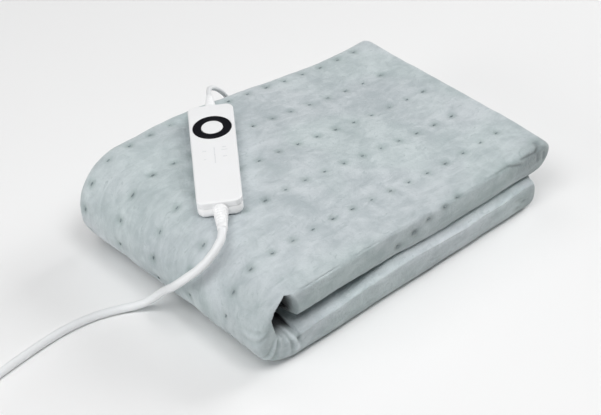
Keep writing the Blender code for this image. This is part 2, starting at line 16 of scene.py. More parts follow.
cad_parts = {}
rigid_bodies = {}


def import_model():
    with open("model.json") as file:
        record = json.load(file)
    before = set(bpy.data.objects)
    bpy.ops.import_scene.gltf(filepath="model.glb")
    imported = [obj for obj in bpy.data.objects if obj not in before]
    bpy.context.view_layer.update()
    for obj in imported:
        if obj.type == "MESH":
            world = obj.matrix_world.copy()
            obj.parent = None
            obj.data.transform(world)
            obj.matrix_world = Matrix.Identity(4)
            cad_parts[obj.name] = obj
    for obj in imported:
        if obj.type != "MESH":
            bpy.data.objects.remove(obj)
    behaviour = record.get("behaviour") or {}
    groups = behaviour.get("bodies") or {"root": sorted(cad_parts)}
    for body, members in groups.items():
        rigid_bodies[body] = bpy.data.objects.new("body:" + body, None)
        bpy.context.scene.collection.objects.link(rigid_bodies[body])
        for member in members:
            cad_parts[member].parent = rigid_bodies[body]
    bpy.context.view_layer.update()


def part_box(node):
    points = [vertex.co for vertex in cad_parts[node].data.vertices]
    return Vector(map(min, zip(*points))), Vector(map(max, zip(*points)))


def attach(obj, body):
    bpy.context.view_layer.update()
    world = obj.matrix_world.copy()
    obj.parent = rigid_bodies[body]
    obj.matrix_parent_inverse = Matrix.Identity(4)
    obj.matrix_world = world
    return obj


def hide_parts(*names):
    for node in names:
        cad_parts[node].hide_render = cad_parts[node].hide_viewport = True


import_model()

bl_info = {
    "name": "Folded heated mattress pad",
    "version": (1, 0, 0),
    "blender": (4, 5, 0),
    "location": "View3D > Sidebar > Heated pad",
    "description": "A plush heating pad folded to a block, its hand control, its leads and a plain stage",
    "category": "Object",
}

ROOT = "pad_and_control"
PUSHED = "button"

PAD_LOW, PAD_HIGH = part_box("pad")
PAD_LONG = 0.355
PAD_SHORT = 0.235
FRONT_BULGE = 0.0050
FRONT_CORNER = Vector((-PAD_LONG / 2, (FRONT_BULGE - PAD_SHORT) / 2, 0.0))
CONTROL_FACE = Vector((0.0874, 0.1499, 0.1068))
CONTROL_TURN = (math.radians(52.0), math.radians(-1.0), math.radians(-5.0))
GAP = 0.0003

# Places along each lead, each x, y and z.
MAINS_ROUTE = (
    (0.0165, 0.0640, 0.0975), (0.0050, 0.0620, 0.0905), (-0.0060, 0.0655, 0.0815),
    (-0.0140, 0.0730, 0.0722), (-0.0150, 0.0820, 0.0618), (-0.0120, 0.0925, 0.0505),
    (-0.0085, 0.1045, 0.0385), (-0.0060, 0.1160, 0.0260), (-0.0090, 0.1270, 0.0130),
    (-0.0175, 0.1370, 0.0060), (-0.0300, 0.1450, 0.0040), (-0.0500, 0.1520, 0.0038),
    (-0.0800, 0.1555, 0.0038), (-0.1200, 0.1530, 0.0038), (-0.1650, 0.1475, 0.0038),
    (-0.2050, 0.1455, 0.0038), (-0.2330, 0.1492, 0.0038), (-0.2530, 0.1543, 0.0038),
)
TAIL_ROUTE = (
    (-0.3133, 0.1339, 0.0080), (-0.3320, 0.1240, 0.0048), (-0.3490, 0.1080, 0.0042),
    (-0.3610, 0.0860, 0.0058),
)
PAD_LEAD_ROUTE = (
    (0.1520, 0.2320, 0.0965), (0.1580, 0.2375, 0.0945), (0.1650, 0.2420, 0.0900),
    (0.1740, 0.2450, 0.0825), (0.1830, 0.2475, 0.0725), (0.1910, 0.2500, 0.0600),
    (0.1980, 0.2530, 0.0440), (0.2050, 0.2565, 0.0270), (0.2140, 0.2600, 0.0120),
    (0.2280, 0.2655, 0.0045), (0.2460, 0.2715, 0.0026), (0.2700, 0.2780, 0.0026),
    (0.2950, 0.2818, 0.0026), (0.3170, 0.2829, 0.0026), (0.3325, 0.2824, 0.0028),
    (0.3404, 0.2792, 0.0032), (0.3459, 0.2727, 0.0038), (0.3476, 0.2643, 0.0045),
    (0.3453, 0.2561, 0.0053), (0.3388, 0.2497, 0.0062),
)


# ------------------------------------------------------------------ sizes and colours
def metres(name, text, default):
    return FloatProperty(name=name, description=text, default=default, unit="LENGTH")


def colour(name, text, *default):
    return FloatVectorProperty(name=name, description=text, subtype="COLOR", size=4, min=0.0, max=1.0,
                               default=(*default, 1.0))


class PadSizes(bpy.types.PropertyGroup):
    ply: metres("Ply", "Thickness of the quilted sheet", 0.0046)
    ply_gap: metres("Ply gap", "Air between two plies", 0.0010)
    middle_gap: metres("Middle gap", "Air between the two stacks at the folded ends", 0.0015)
    setback: metres("Lower end set-back", "How much shorter the lower stack is", 0.014)
    wrap_reach: metres("Wrap reach", "Outer radius of the big wrap", 0.0465)
    eye_front: metres("Eye, front", "Half the space inside the wrap in front", 0.0050)
    eye_back: metres("Eye, back", "Half the space inside the wrap behind", 0.0139)
    tack_pitch: metres("Tack pitch", "Distance between tacks in a row", 0.0228)
    tack_rows: metres("Tack rows", "Distance between rows of tacks", 0.0452)
    tack_depth: metres("Tack depth", "How deep a tack draws the plush in", 0.0013)
    pile: metres("Brushed pile", "Height of the brushed pile's unevenness", 0.0005)


class PadColours(bpy.types.PropertyGroup):
    plush: colour("Plush", "Middle tone of the plush", 0.505, 0.568, 0.580)
    plush_light: colour("Plush, brushed up", "Tone where the nap stands towards the light",
                        0.640, 0.700, 0.712)
    plush_dark: colour("Plush, brushed down", "Tone where the nap lies away from the light",
                       0.360, 0.424, 0.436)
    thread: colour("Tack thread", "Colour of the tack stitches", 0.190, 0.230, 0.240)


class ControlSizes(bpy.types.PropertyGroup):
    length: metres("Length", "Control's length", 0.142)
    width: metres("Width", "Control's width", 0.040)
    thick: metres("Thickness", "Control's thickness", 0.0155)
    cover: metres("Cover", "Thickness of the cover", 0.0060)
    corner: metres("Corner", "Corner radius", 0.0070)
    taper: FloatProperty(name="Taper", description="How much narrower the mains end is", default=0.055)
    ring_at: metres("Ring place", "Ring's distance from the middle", 0.0364)
    ring: metres("Ring radius", "Outer radius of the ring", 0.0167)
    bore: metres("Ring bore", "Inner radius of the ring", 0.0098)
    button: metres("Button radius", "Radius of the push button", 0.0094)
    shell: colour("Shell", "White of the control, reliefs and plug", 0.905, 0.912, 0.925)
    black: colour("Ring black", "Black of the ring", 0.006, 0.006, 0.008)
    mark: colour("Marks", "Pale grey of the printed marks", 0.600, 0.612, 0.630)


class LeadSizes(bpy.types.PropertyGroup):
    mains: metres("Mains lead", "Mains lead's diameter", 0.0072)
    thin: metres("Pad lead", "Pad lead's diameter", 0.0045)
    mains_length: metres("Mains length", "Real length of the mains lead", 1.80)
    turns: IntProperty(name="Coil turns", description="Whole turns in the coil", default=5)
    coil_radius: metres("Coil radius", "Middle radius of the coil", 0.0400)
    sheath: colour("Sheath", "White of the leads", 0.860, 0.875, 0.885)
    pins: colour("Pins", "Plated plug pins", 0.620, 0.620, 0.640)


class StageSettings(bpy.types.PropertyGroup):
    azimuth: FloatProperty(name="Azimuth", description="Where the camera stands, in degrees", default=-43.5)
    elevation: FloatProperty(name="Elevation", description="Camera's height, in degrees", default=38.0)
    distance: metres("Distance", "Camera to pad", 1.569)
    lens: FloatProperty(name="Lens", description="Focal length in millimetres", default=107.16)
    floor: colour("Floor", "Pale floor", 0.90, 0.90, 0.90)


# ------------------------------------------------------------------ small helpers
def from_corner(point):
    return FRONT_CORNER + Vector(point)


def smooth(t):
    t = np.clip(t, 0.0, 1.0)
    return t * t * (3.0 - 2.0 * t)


def control_axes():
    """Turn of the control: along its length, to its left side, and out of its face."""
    yaw, pitch, roll = CONTROL_TURN
    turn = Matrix.Rotation(yaw, 3, "Z") @ Matrix.Rotation(-pitch, 3, "Y")
    return turn @ Matrix.Rotation(roll, 3, "X")


def control_frame():
    """The control's own axes in the room, with the middle of its face as their origin."""
    return Matrix.Translation(from_corner(CONTROL_FACE)) @ control_axes().to_4x4()


def column_at(rows, columns, name, at):
    """One named column of a table, at places along its first column."""
    values = np.array(rows)
    return np.interp(at, values[:, 0], values[:, columns.index(name)])


def keep(name, mesh, kind, nodes=(), body=ROOT):
    """Make a piece of the object: it has its finish, rides on a body, and stands for CAD nodes."""
    piece = bpy.data.objects.new(name, mesh)
    piece.data.materials.append(finish_of(kind))
    bpy.context.scene.collection.objects.link(piece)
    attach(piece, body)
    if nodes:
        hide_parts(*nodes)
    return piece


def finish_mesh(shell, name, place=None, rounded=True):
    """Close a piece's mesh, smooth it, and set it in its place."""
    bmesh.ops.recalc_face_normals(shell, faces=shell.faces)
    mesh = bpy.data.meshes.new(name)
    shell.to_mesh(mesh)
    shell.free()
    if place is not None:
        mesh.transform(place)
    mesh.polygons.foreach_set("use_smooth", [rounded] * len(mesh.polygons))
    return mesh


def built(name, shell, place, kind, nodes=(), body=ROOT, rounded=True):
    """A piece straight from its open mesh."""
    return keep(name, finish_mesh(shell, name, place, rounded), kind, nodes, body)


# ------------------------------------------------------------------ materials as expressions
# The Mix node's sockets for colours, which share their names with its other sockets.
MIX_SHARE, MIX_FIRST, MIX_SECOND, MIX_RESULT = 0, 6, 7, 2


class Value:
    """A socket of a finish that can be reckoned with like a number."""

    def __init__(self, look, socket):
        self.look = look
        self.socket = socket

    def reckon(self, operation, *terms):
        return self.look.node("ShaderNodeMath", {"operation": operation}, dict(enumerate(terms)))

    def __add__(self, other):
        return self.reckon("ADD", self, other)

    __radd__ = __add__

    def __sub__(self, other):
        return self.reckon("SUBTRACT", self, other)

    def __rsub__(self, other):
        return self.reckon("SUBTRACT", other, self)

    def __mul__(self, other):
        return self.reckon("MULTIPLY", self, other)

    __rmul__ = __mul__

    def between(self, low, high):
        """0 below one value, 1 above the other, and a soft step in between."""
        return self.look.node("ShaderNodeMapRange", {"interpolation_type": "SMOOTHSTEP"},
                              {"Value": self, "From Min": low, "From Max": high})


class Look:
    """A finish: one Principled shader and the nodes that feed it."""

    def __init__(self, name, colour, roughness, metallic=0.0, **fixed):
        self.material = bpy.data.materials.new(name)
        self.material.use_nodes = True
        self.tree = self.material.node_tree
        self.shader = self.tree.nodes["Principled BSDF"]
        self.feed("Base Color", colour)
        self.feed("Roughness", roughness)
        self.feed("Metallic", metallic)
        for socket, value in fixed.items():
            self.shader.inputs[socket.replace("_", " ").title().replace("Ior", "IOR")].default_value = value

    def put(self, socket, value):
        if isinstance(value, Value):
            self.tree.links.new(value.socket, socket)
        elif value is not None:
            socket.default_value = value

    def feed(self, name, value):
        self.put(self.shader.inputs[name], value)

    def node(self, kind, settings=None, inputs=None, output=0):
        """Any node: its settings first, then values or links for its sockets."""
        made = self.tree.nodes.new(kind)
        for key, value in (settings or {}).items():
            setattr(made, key, value)
        for key, value in (inputs or {}).items():
            self.put(made.inputs[key], value)
        return Value(self, made.outputs[output])

    def mixed(self, share, first, second, blend="MIX"):
        """Two colours mixed by a share."""
        return self.node("ShaderNodeMix", {"data_type": "RGBA", "blend_type": blend},
                         {MIX_SHARE: share, MIX_FIRST: first, MIX_SECOND: second}, MIX_RESULT)

    def times(self, colour, by):
        """A colour multiplied by another."""
        return self.mixed(1.0, colour, by, "MULTIPLY")

    def vary(self, share, colour, by):
        """Base colour between a colour and the same one made darker or lighter by a factor."""
        other = (colour[0] * by, colour[1] * by, colour[2] * by, 1.0)
        self.feed("Base Color", self.mixed(share, tuple(colour), other))

    def place(self, attribute=None):
        """Where on the piece a point is: its own metres, or the flat sheet's where that is kept."""
        if attribute:
            return self.node("ShaderNodeAttribute", {"attribute_name": attribute}, output="Vector")
        return self.node("ShaderNodeTexCoord", output="Object")

    def stretched(self, place, scale, turn=(0.0, 0.0, 0.0)):
        return self.node("ShaderNodeMapping", {"vector_type": "POINT"},
                         {"Vector": place, "Rotation": turn, "Scale": scale})

    def grain(self, place, scale, detail=2.0, roughness=0.5, warp=0.0):
        """Soft noise of a given scale, from 0 to 1."""
        return self.node("ShaderNodeTexNoise", {"noise_dimensions": "3D"},
                         {"Vector": place, "Scale": scale, "Detail": detail, "Roughness": roughness,
                          "Distortion": warp})

    def relief(self, height, strength, depth, under=None):
        """A bump whose height runs from 0 to 1 over a depth, on top of another bump."""
        return self.node("ShaderNodeBump", None,
                         {"Strength": strength, "Distance": depth, "Height": height, "Normal": under})


def plush_look(colours):
    """Short brushed plush: patches of pile lying each way, brush marks, fine tufts, and painted light and
    shade kept on the mesh.
    """
    look = Look("plush", colours.plush, 0.93, sheen_weight=0.35, sheen_roughness=0.45,
                specular_ior_level=0.12)
    sheet = look.place("sheet")
    patches = look.grain(sheet, 15.0, 3.0, 0.55, 0.9)
    clumps = look.grain(sheet, 60.0, 4.0, 0.65, 0.8)
    strokes = look.grain(look.stretched(sheet, (38.0, 105.0, 40.0), (0.0, 0.0, 0.45)), 1.0, 3.0, 0.6, 0.9)
    tufts = look.grain(sheet, 520.0, 2.0, 0.6)
    nap_and_painted_light = patches * 0.40 + clumps * 0.34 + strokes * 0.34
    lie = nap_and_painted_light.between(0.40, 0.68)
    tone = look.mixed(lie, tuple(colours.plush_dark), tuple(colours.plush_light))
    tone = look.mixed(0.40, tone, tuple(colours.plush))
    hue = look.grain(sheet, 9.0, 2.0, 0.5, 0.4).between(0.40, 0.62)
    tone = look.mixed(hue, tone, look.times(tone, (1.02, 0.99, 1.01, 1.0)))
    streaks = look.grain(look.stretched(sheet, (95.0, 190.0, 60.0), (0.0, 0.0, 0.5)), 1.0, 3.0, 0.6, 1.2)
    tone = look.mixed(0.55 * streaks.between(0.56, 0.70) * clumps.between(0.42, 0.58), tone,
                      tuple(colours.plush_dark))
    fleck = tufts.between(0.35, 0.72)
    tone = look.mixed(0.12 * fleck, tone, tuple(colours.plush_dark))
    # Painted light and shade kept on the mesh multiply the plush tone, which turns a little cooler where it
    # is painted darker.
    painted_light_and_shade = look.node("ShaderNodeAttribute", {"attribute_name": "nap_and_painted_light"}, output="Color")
    tone = look.times(tone, painted_light_and_shade)
    cooler = look.times(tone, (0.965, 1.0, 0.985, 1.0))
    tone = look.mixed(painted_light_and_shade.between(0.82, 1.02), cooler, tone)
    # Painted shade: the inside of the corner's deep hollow is painted near black.
    shade = look.node("ShaderNodeAttribute", {"attribute_name": "fold_shade"}, output="Fac")
    look.feed("Base Color", look.mixed(0.93 * shade, tone, (0.012, 0.012, 0.015, 1.0)))
    fine = look.relief(tufts, 0.55, 0.0009)
    look.feed("Normal", look.relief(clumps * 0.7 + strokes * 0.6, 0.45, 0.0024, fine))
    return look.material


def thread_look(colours):
    look = Look("tack_thread", tuple(colours.thread), 0.85)
    place = look.place()
    twist = look.grain(place, 1500.0, 1.0)
    look.feed("Base Color", look.mixed(twist, tuple(colours.thread), tuple(colours.plush_dark)))
    look.feed("Normal", look.relief(twist, 0.4, 0.0004))
    return look.material


def shell_look(sizes):
    """White moulded plastic with a fine satin grain."""
    look = Look("white_shell", tuple(sizes.shell), 0.34, coat_weight=0.12, coat_roughness=0.2)
    place = look.place()
    fine = look.grain(place, 2600.0, 1.0)
    broad = look.grain(place, 38.0, 2.0)
    look.feed("Roughness", 0.28 + 0.10 * fine + 0.06 * broad)
    warm = (sizes.shell[0] * 0.985, sizes.shell[1] * 0.98, sizes.shell[2] * 0.965, 1.0)
    look.feed("Base Color", look.mixed(broad, tuple(sizes.shell), warm))
    look.feed("Normal", look.relief(fine, 0.08, 0.0002))
    return look.material


def black_look(sizes):
    look = Look("black_gloss", tuple(sizes.black), 0.36, specular_ior_level=0.10)
    haze = look.grain(look.place(), 420.0, 2.0)
    look.feed("Roughness", 0.32 + 0.10 * haze)
    look.vary(haze, sizes.black, 1.8)
    return look.material


def mark_look(sizes):
    look = Look("printed_mark", tuple(sizes.mark), 0.5)
    worn = look.grain(look.place(), 900.0, 2.0)
    look.feed("Base Color", look.mixed(worn, tuple(sizes.mark), tuple(sizes.shell)))
    return look.material


def sheath_look(sizes):
    """Soft white cord sheath with faint lengthwise unevenness."""
    look = Look("white_sheath", tuple(sizes.sheath), 0.42, coat_weight=0.05)
    place = look.place()
    uneven = look.grain(place, 260.0, 2.0)
    look.feed("Roughness", 0.38 + 0.12 * uneven)
    look.vary(look.grain(place, 60.0), sizes.sheath, 0.95)
    look.feed("Normal", look.relief(uneven, 0.10, 0.0004))
    return look.material


def pin_look(sizes):
    look = Look("plated_pin", tuple(sizes.pins), 0.22, metallic=1.0)
    brushed = look.grain(look.stretched(look.place(), (200.0, 200.0, 2400.0)), 1.0, 2.0)
    look.feed("Roughness", 0.16 + 0.16 * brushed)
    look.vary(brushed, sizes.pins, 0.8)
    return look.material


def floor_look(settings):
    look = Look("pale_floor", tuple(settings.floor), 0.8)
    look.vary(look.grain(look.place(), 3.0, 1.0), settings.floor, 0.995)
    return look.material


LOOKS = {}
# The look of each finish, and the group that holds its colours.
FINISHES = {
    "plush": (plush_look, "pad_colours"),
    "thread": (thread_look, "pad_colours"),
    "shell": (shell_look, "control_sizes"),
    "black": (black_look, "control_sizes"),
    "mark": (mark_look, "control_sizes"),
    "sheath": (sheath_look, "lead_sizes"),
    "pins": (pin_look, "lead_sizes"),
    "floor": (floor_look, "stage_settings"),
}


def finish_of(kind):
    """Each finish is made once, when the first piece asks for it."""
    if kind not in LOOKS:
        look, group = FINISHES[kind]
        LOOKS[kind] = look(getattr(bpy.context.scene, group))
    return LOOKS[kind]


# ------------------------------------------------------------------ the pad's folds
# The mouth of the hollow in the front edge where it goes round the wrap, anticlockwise in x and z.
HOLLOW_MOUTH = (
    (0.0142, 0.0575),
    (0.0158, 0.0485),
    (0.0190, 0.0395),
    (0.0240, 0.0338),
    (0.0330, 0.0300),
    (0.0435, 0.0262),
    (0.0446, 0.0330),
    (0.0442, 0.0430),
    (0.0425, 0.0555),
    (0.0398, 0.0645),
    (0.0362, 0.0706),
    (0.0310, 0.0710),
    (0.0245, 0.0680),
    (0.0180, 0.0635),
)
HOLLOW_DEPTH = 0.036
PLEAT = ((0.0200, 0.0590), (0.0440, 0.0470))
PLEAT_WIDTH = 0.0045
PLEAT_CREST = (0.020, 0.010)
HOLLOW_REACH = 0.095
HOLLOW_RIM = (0.0035, 0.0075)
# The front edges' shape, by how far along the sheet from the wrap: how square the outer side and the
# gap side are (under 1 is boxier), how high the edge stands out furthest, and how far it stands out.
EDGE_COLUMNS = ("along", "outer", "gap_side", "furthest", "proud")
EDGES = (
    (-0.300, 0.34, 0.62, 0.0120, 0.0000),
    (-0.250, 0.34, 0.60, 0.0120, 0.0000),
    (-0.200, 0.34, 0.48, 0.0120, 0.0000),
    (-0.135, 0.34, 0.40, 0.0120, 0.0000),
    (-0.105, 0.44, 0.60, 0.0140, 0.0000),
    (-0.060, 0.52, 0.90, 0.0150, 0.0000),
    (-0.015, 0.62, 1.40, 0.0250, 0.0015),
    (0.020, 0.54, 1.60, 0.0280, 0.0015),
    (0.066, 0.50, 1.60, 0.0300, 0.0015),
    (0.113, 0.50, 1.60, 0.0312, 0.0010),
    (0.160, 0.50, 1.60, 0.0288, 0.0015),
    (0.195, 0.50, 1.60, 0.0268, 0.0015),
    (0.215, 0.50, 1.60, 0.0284, 0.0015),
    (0.240, 0.50, 1.60, 0.0270, 0.0015),
    (0.268, 0.50, 1.60, 0.0292, 0.0015),
    (0.300, 0.50, 1.60, 0.0290, 0.0015),
)
GATHER_MIDDLE = (0.0290, 0.0560)
BULB = 0.009
BULB_RUN = 0.045
BULB_LESS_BEHIND = 0.45
# How far the front corner of the closed ends is drawn in, by height.
CORNER_PULL = (
    (0.0000, 0.0070),
    (0.0320, 0.0070),
    (0.0345, 0.0110),
    (0.0420, 0.0095),
    (0.0500, 0.0045),
    (0.0580, 0.0018),
    (0.0700, 0.0022),
)
CORNER_RUN = 0.040
CORNER_DEPTH = 0.014
EYE_RUN = 0.100
UPPER_FURTHEST = 0.0120
MEET_GAP = 0.0006
MEET_START = 0.095
MEET_RUN = 0.085
MEET_DEPTH = 0.0070
MEET_BEHIND = 0.030
SINK = 0.0026
SINK_RUN = 0.035
SINK_START = 0.012
SINK_END = 0.150
WRAP_ARC = math.pi * 0.042
CLOSE_START = 0.080
CLOSE_END_FRONT = 0.240
CLOSE_END_BACK = 0.335
PRESS_GAP = 0.0006
PRESS_ROOM = 0.0010
PRESS_RUN = 0.0080
TACK_FIRST_ROW = -0.004
ON_TOP = 0.06


def hairpin(points, axis, line, side, centre, arc, square=(1.0, 1.0), wider=0.0, furthest=None):
    """Fold what lies beyond a line back over the rest, around a centre above it."""
    beyond = side * (points[:, axis] - line)
    radius = centre - points[:, 2]
    furthest = centre if furthest is None else centre + (furthest - centre) * radius / centre
    angle = math.pi * np.clip(beyond / arc, 0.0, 1.0)
    outer = angle < math.pi / 2
    power = np.where(outer, square[0], square[1])
    across = np.abs(np.sin(angle)) ** power
    rise = np.abs(np.cos(angle)) ** power
    height = np.where(outer, points[:, 2] - furthest, 2 * centre - points[:, 2] - furthest) * rise + furthest
    turned = (radius + wider) * across - np.maximum(beyond - arc, 0.0)
    folded = beyond > 0.0
    moved = points.copy()
    moved[:, axis] = np.where(folded, line + side * turned, points[:, axis])
    moved[:, 2] = np.where(folded, height, points[:, 2])
    return moved


def away_from_line(x, z, start, end):
    """Distance of places from a line's nearest point, and how far along the line that is."""
    run = np.subtract(end, start)
    share = np.clip(((x - start[0]) * run[0] + (z - start[1]) * run[1]) / (run @ run), 0.0, 1.0)
    return np.hypot(x - start[0] - share * run[0], z - start[1] - share * run[1]), share


def hollow_at(x, z):
    """How far the front is pushed in at a place: a deep hollow behind a thin rim, with a pleat in it."""
    inside = np.zeros(x.shape, dtype=bool)
    nearest = np.full(x.shape, 1.0)
    for (x0, z0), (x1, z1) in zip(HOLLOW_MOUTH, HOLLOW_MOUTH[1:] + HOLLOW_MOUTH[:1]):
        nearest = np.minimum(nearest, away_from_line(x, z, (x0, z0), (x1, z1))[0])
        crosses = (z0 > z) != (z1 > z)
        inside ^= crosses & (x < x0 + (z - z0) / (z1 - z0 if z1 != z0 else 1.0) * (x1 - x0))
    rim = HOLLOW_RIM[0] + (HOLLOW_RIM[1] - HOLLOW_RIM[0]) * smooth((x - 0.026) / 0.010)
    pushed = HOLLOW_DEPTH * np.clip(nearest / rim, 0.0, 1.0) * inside
    off, share = away_from_line(x, z, *PLEAT)
    crest = PLEAT_CREST[0] + (PLEAT_CREST[1] - PLEAT_CREST[0]) * share
    pushed = np.minimum(pushed, crest + (HOLLOW_DEPTH - crest) * smooth(off / PLEAT_WIDTH))
    return pushed, np.where(inside, 0.0, nearest)


class Folds:
    """The pad's folds, worked out from its sizes: they take a place on the flat sheet to the folded pad."""

    def __init__(self, sizes):
        self.sizes = sizes
        self.stack = 6 * sizes.ply + 5 * sizes.ply_gap
        self.end_turn = sizes.ply + sizes.ply_gap / 2
        self.back_turn = 2 * sizes.ply + 1.5 * sizes.ply_gap
        self.front_turn = self.stack / 2
        self.end_arc = math.pi * (self.end_turn - sizes.ply / 2)
        self.back_arc = math.pi * (self.back_turn - sizes.ply / 2)
        self.front_arc = math.pi * (self.front_turn - sizes.ply / 2)
        self.lower_flat = PAD_LONG - sizes.setback - sizes.wrap_reach - self.end_turn
        self.upper_flat = PAD_LONG - sizes.wrap_reach - self.end_turn

    def eye(self, y):
        sizes = self.sizes
        return sizes.eye_front + (sizes.eye_back - sizes.eye_front) * smooth(y / EYE_RUN)

    def closing(self, x, y):
        end = CLOSE_END_FRONT + (CLOSE_END_BACK - CLOSE_END_FRONT) * smooth(y / EYE_RUN)
        return (2 * self.eye(y) - self.sizes.middle_gap) * smooth((x - CLOSE_START) / (end - CLOSE_START))

    def top(self, x, y):
        """Height of the pad's top before the control presses on it."""
        reach = self.sizes.wrap_reach
        centre = self.stack + self.eye(y)
        part = np.sqrt(np.clip(1.0 - ((reach - x) / reach) ** 2, 0.0, 1.0))
        return np.where(x < reach, centre * (1.0 + part), 2 * centre - self.closing(x, y))

    def under_control(self, x, y):
        """1 under the control, 0 away from it, and how high the control's underside is."""
        control = bpy.context.scene.control_sizes
        axes = np.array(control_axes())
        away = np.stack([x - CONTROL_FACE.x, y - CONTROL_FACE.y], axis=-1)
        along = np.abs(away @ axes[:2, 0])
        across = np.abs(away @ axes[:2, 1])
        reach = PRESS_ROOM + PRESS_RUN
        share = smooth((control.length / 2 + reach - along) / PRESS_RUN)
        share = share * smooth((control.width / 2 + reach - across) / PRESS_RUN)
        normal = axes[:, 2]
        underside = CONTROL_FACE.z - (away @ normal[:2] + control.thick + PRESS_GAP) / normal[2]
        return share, underside

    def folded(self, points):
        """Take places on the flat sheet, with their height in it, to the folded pad."""
        sizes = self.sizes
        points = hairpin(points, 0, self.lower_flat, 1, self.end_turn, self.end_arc)
        points = hairpin(points, 0, -WRAP_ARC - self.upper_flat, -1, self.end_turn, self.end_arc)
        points = hairpin(points, 1, PAD_SHORT - self.back_turn, 1, self.back_turn, self.back_arc)
        outer, gap_side, furthest, proud = (
            column_at(EDGES, EDGE_COLUMNS, name, points[:, 0]) for name in EDGE_COLUMNS[1:])
        on_gap_side = self.front_turn - points[:, 1] > self.front_arc / 2
        points = hairpin(points, 1, self.front_turn, -1, self.front_turn, self.front_arc, (outer, gap_side),
                         wider=proud, furthest=furthest)
        eye = self.eye(points[:, 1])
        upper = points[:, 0] < -WRAP_ARC
        points = hairpin(points, 0, 0.0, -1, self.stack + eye, WRAP_ARC,
                         wider=sizes.wrap_reach - self.stack - eye)
        points[:, 0] += sizes.wrap_reach
        points[:, 2] -= np.where(upper, self.closing(points[:, 0], points[:, 1]), 0.0)
        self.sink_top(points)
        self.meet(points, on_gap_side & ~upper)
        self.buckle_corner(points)
        self.round_ends(points)
        self.press(points)
        return points

    def meet(self, points, which):
        """Raise the lower stack's top, behind its front edge, until the upper stack rests on it."""
        x, y, z = points.T.copy()
        above = self.sizes.wrap_reach - WRAP_ARC - x
        power = column_at(EDGES, EDGE_COLUMNS, "gap_side", above)
        proud = column_at(EDGES, EDGE_COLUMNS, "proud", above)
        inside = np.clip((self.front_turn - y) / (self.front_turn + proud), 0.0, 1.0) ** (1.0 / power)
        rise = (1.0 - inside ** 2) ** (power / 2)
        bottom = self.stack + 2 * self.eye(y) - self.closing(x, y)
        over = bottom + (self.stack - UPPER_FURTHEST) * (1.0 - rise) - MEET_GAP
        share = smooth((x - MEET_START) / MEET_RUN) * np.clip((y + 0.0015) / MEET_DEPTH, 0.0, 1.0) ** 2
        near = smooth((MEET_BEHIND - y) / 0.010)
        points[:, 2] = np.where(which & (y < MEET_BEHIND), z + (over - z) * share * near, z)

    def sink_top(self, points):
        """Let the top sink a little towards the front edge beside the wrap."""
        x, y, z = points.T.copy()
        beside = smooth((x - SINK_START) / 0.030) * smooth((SINK_END - x) / 0.060)
        high = smooth((z - self.stack - 2 * self.sizes.eye_front) / (0.8 * self.stack))
        points[:, 2] -= SINK * beside * high * smooth((SINK_RUN - y) / SINK_RUN)

    def buckle_corner(self, points):
        """Push the front edge in where it goes round the wrap: two hollows with a pleat between."""
        x, y, z = points.T
        points[:, 1] = y + hollow_at(x, z)[0] * np.clip(1.0 - np.maximum(y, 0.0) / HOLLOW_REACH, 0.0, 1.0)

    def round_ends(self, points):
        """Round the closed ends of both stacks, and draw their front corner in."""
        x, y, z = points.T.copy()
        upper = z > self.stack + self.sizes.middle_gap / 2
        middle = np.where(upper, 1.5 * self.stack + self.sizes.middle_gap, 0.5 * self.stack)
        off = np.clip(np.abs(z - middle) / (self.stack / 2), 0.0, 1.0)
        near_end = smooth((x - (PAD_LONG - BULB_RUN)) / BULB_RUN)
        inside = 1.0 - BULB_LESS_BEHIND * smooth(y / 0.06)
        near_corner = smooth((x - (PAD_LONG - CORNER_RUN)) / CORNER_RUN)
        points[:, 0] -= BULB * off ** 3 * near_end * inside
        pull = column_at(CORNER_PULL, ("height", "pull"), "pull", z)
        points[:, 0] -= pull * np.exp(-np.maximum(y, 0.0) / CORNER_DEPTH) * near_corner

    def press(self, points):
        """Lower the top under the control, so that the control lies in it."""
        x, y, z = points.T.copy()
        share, underside = self.under_control(x, y)
        natural = np.maximum(self.top(x, y), 0.02)
        points[:, 2] *= 1.0 + share * np.minimum(underside / natural - 1.0, 0.0)


def spread(start, *stops):
    """Even cuts from a place on to each stop in turn, every stop with its own step."""
    cuts = [[start]]
    for end, step in stops:
        count = max(1, round(abs(end - start) / step))
        cuts.append(start + (end - start) * np.arange(1, count + 1) / count)
        start = end
    return np.concatenate(cuts)


# Extra cuts beside the line where the front turn stands out furthest, as shares of the turn.
RIDGE_CUTS = (-0.0160, -0.0095, -0.0048, -0.0019, -0.0006, 0.0, 0.0030, 0.0080)
# How much of each stack's length its inner ply covers; how far the sheet runs across the top, in from
# the back turn and in from the front turn; and how wide its cuts are where nothing shows.
INNER_SHARE = 0.88
TOP_RUN = 0.208
BACK_RUN = 0.196
FRONT_RUN = 0.204
HIDDEN_STEP = 0.025


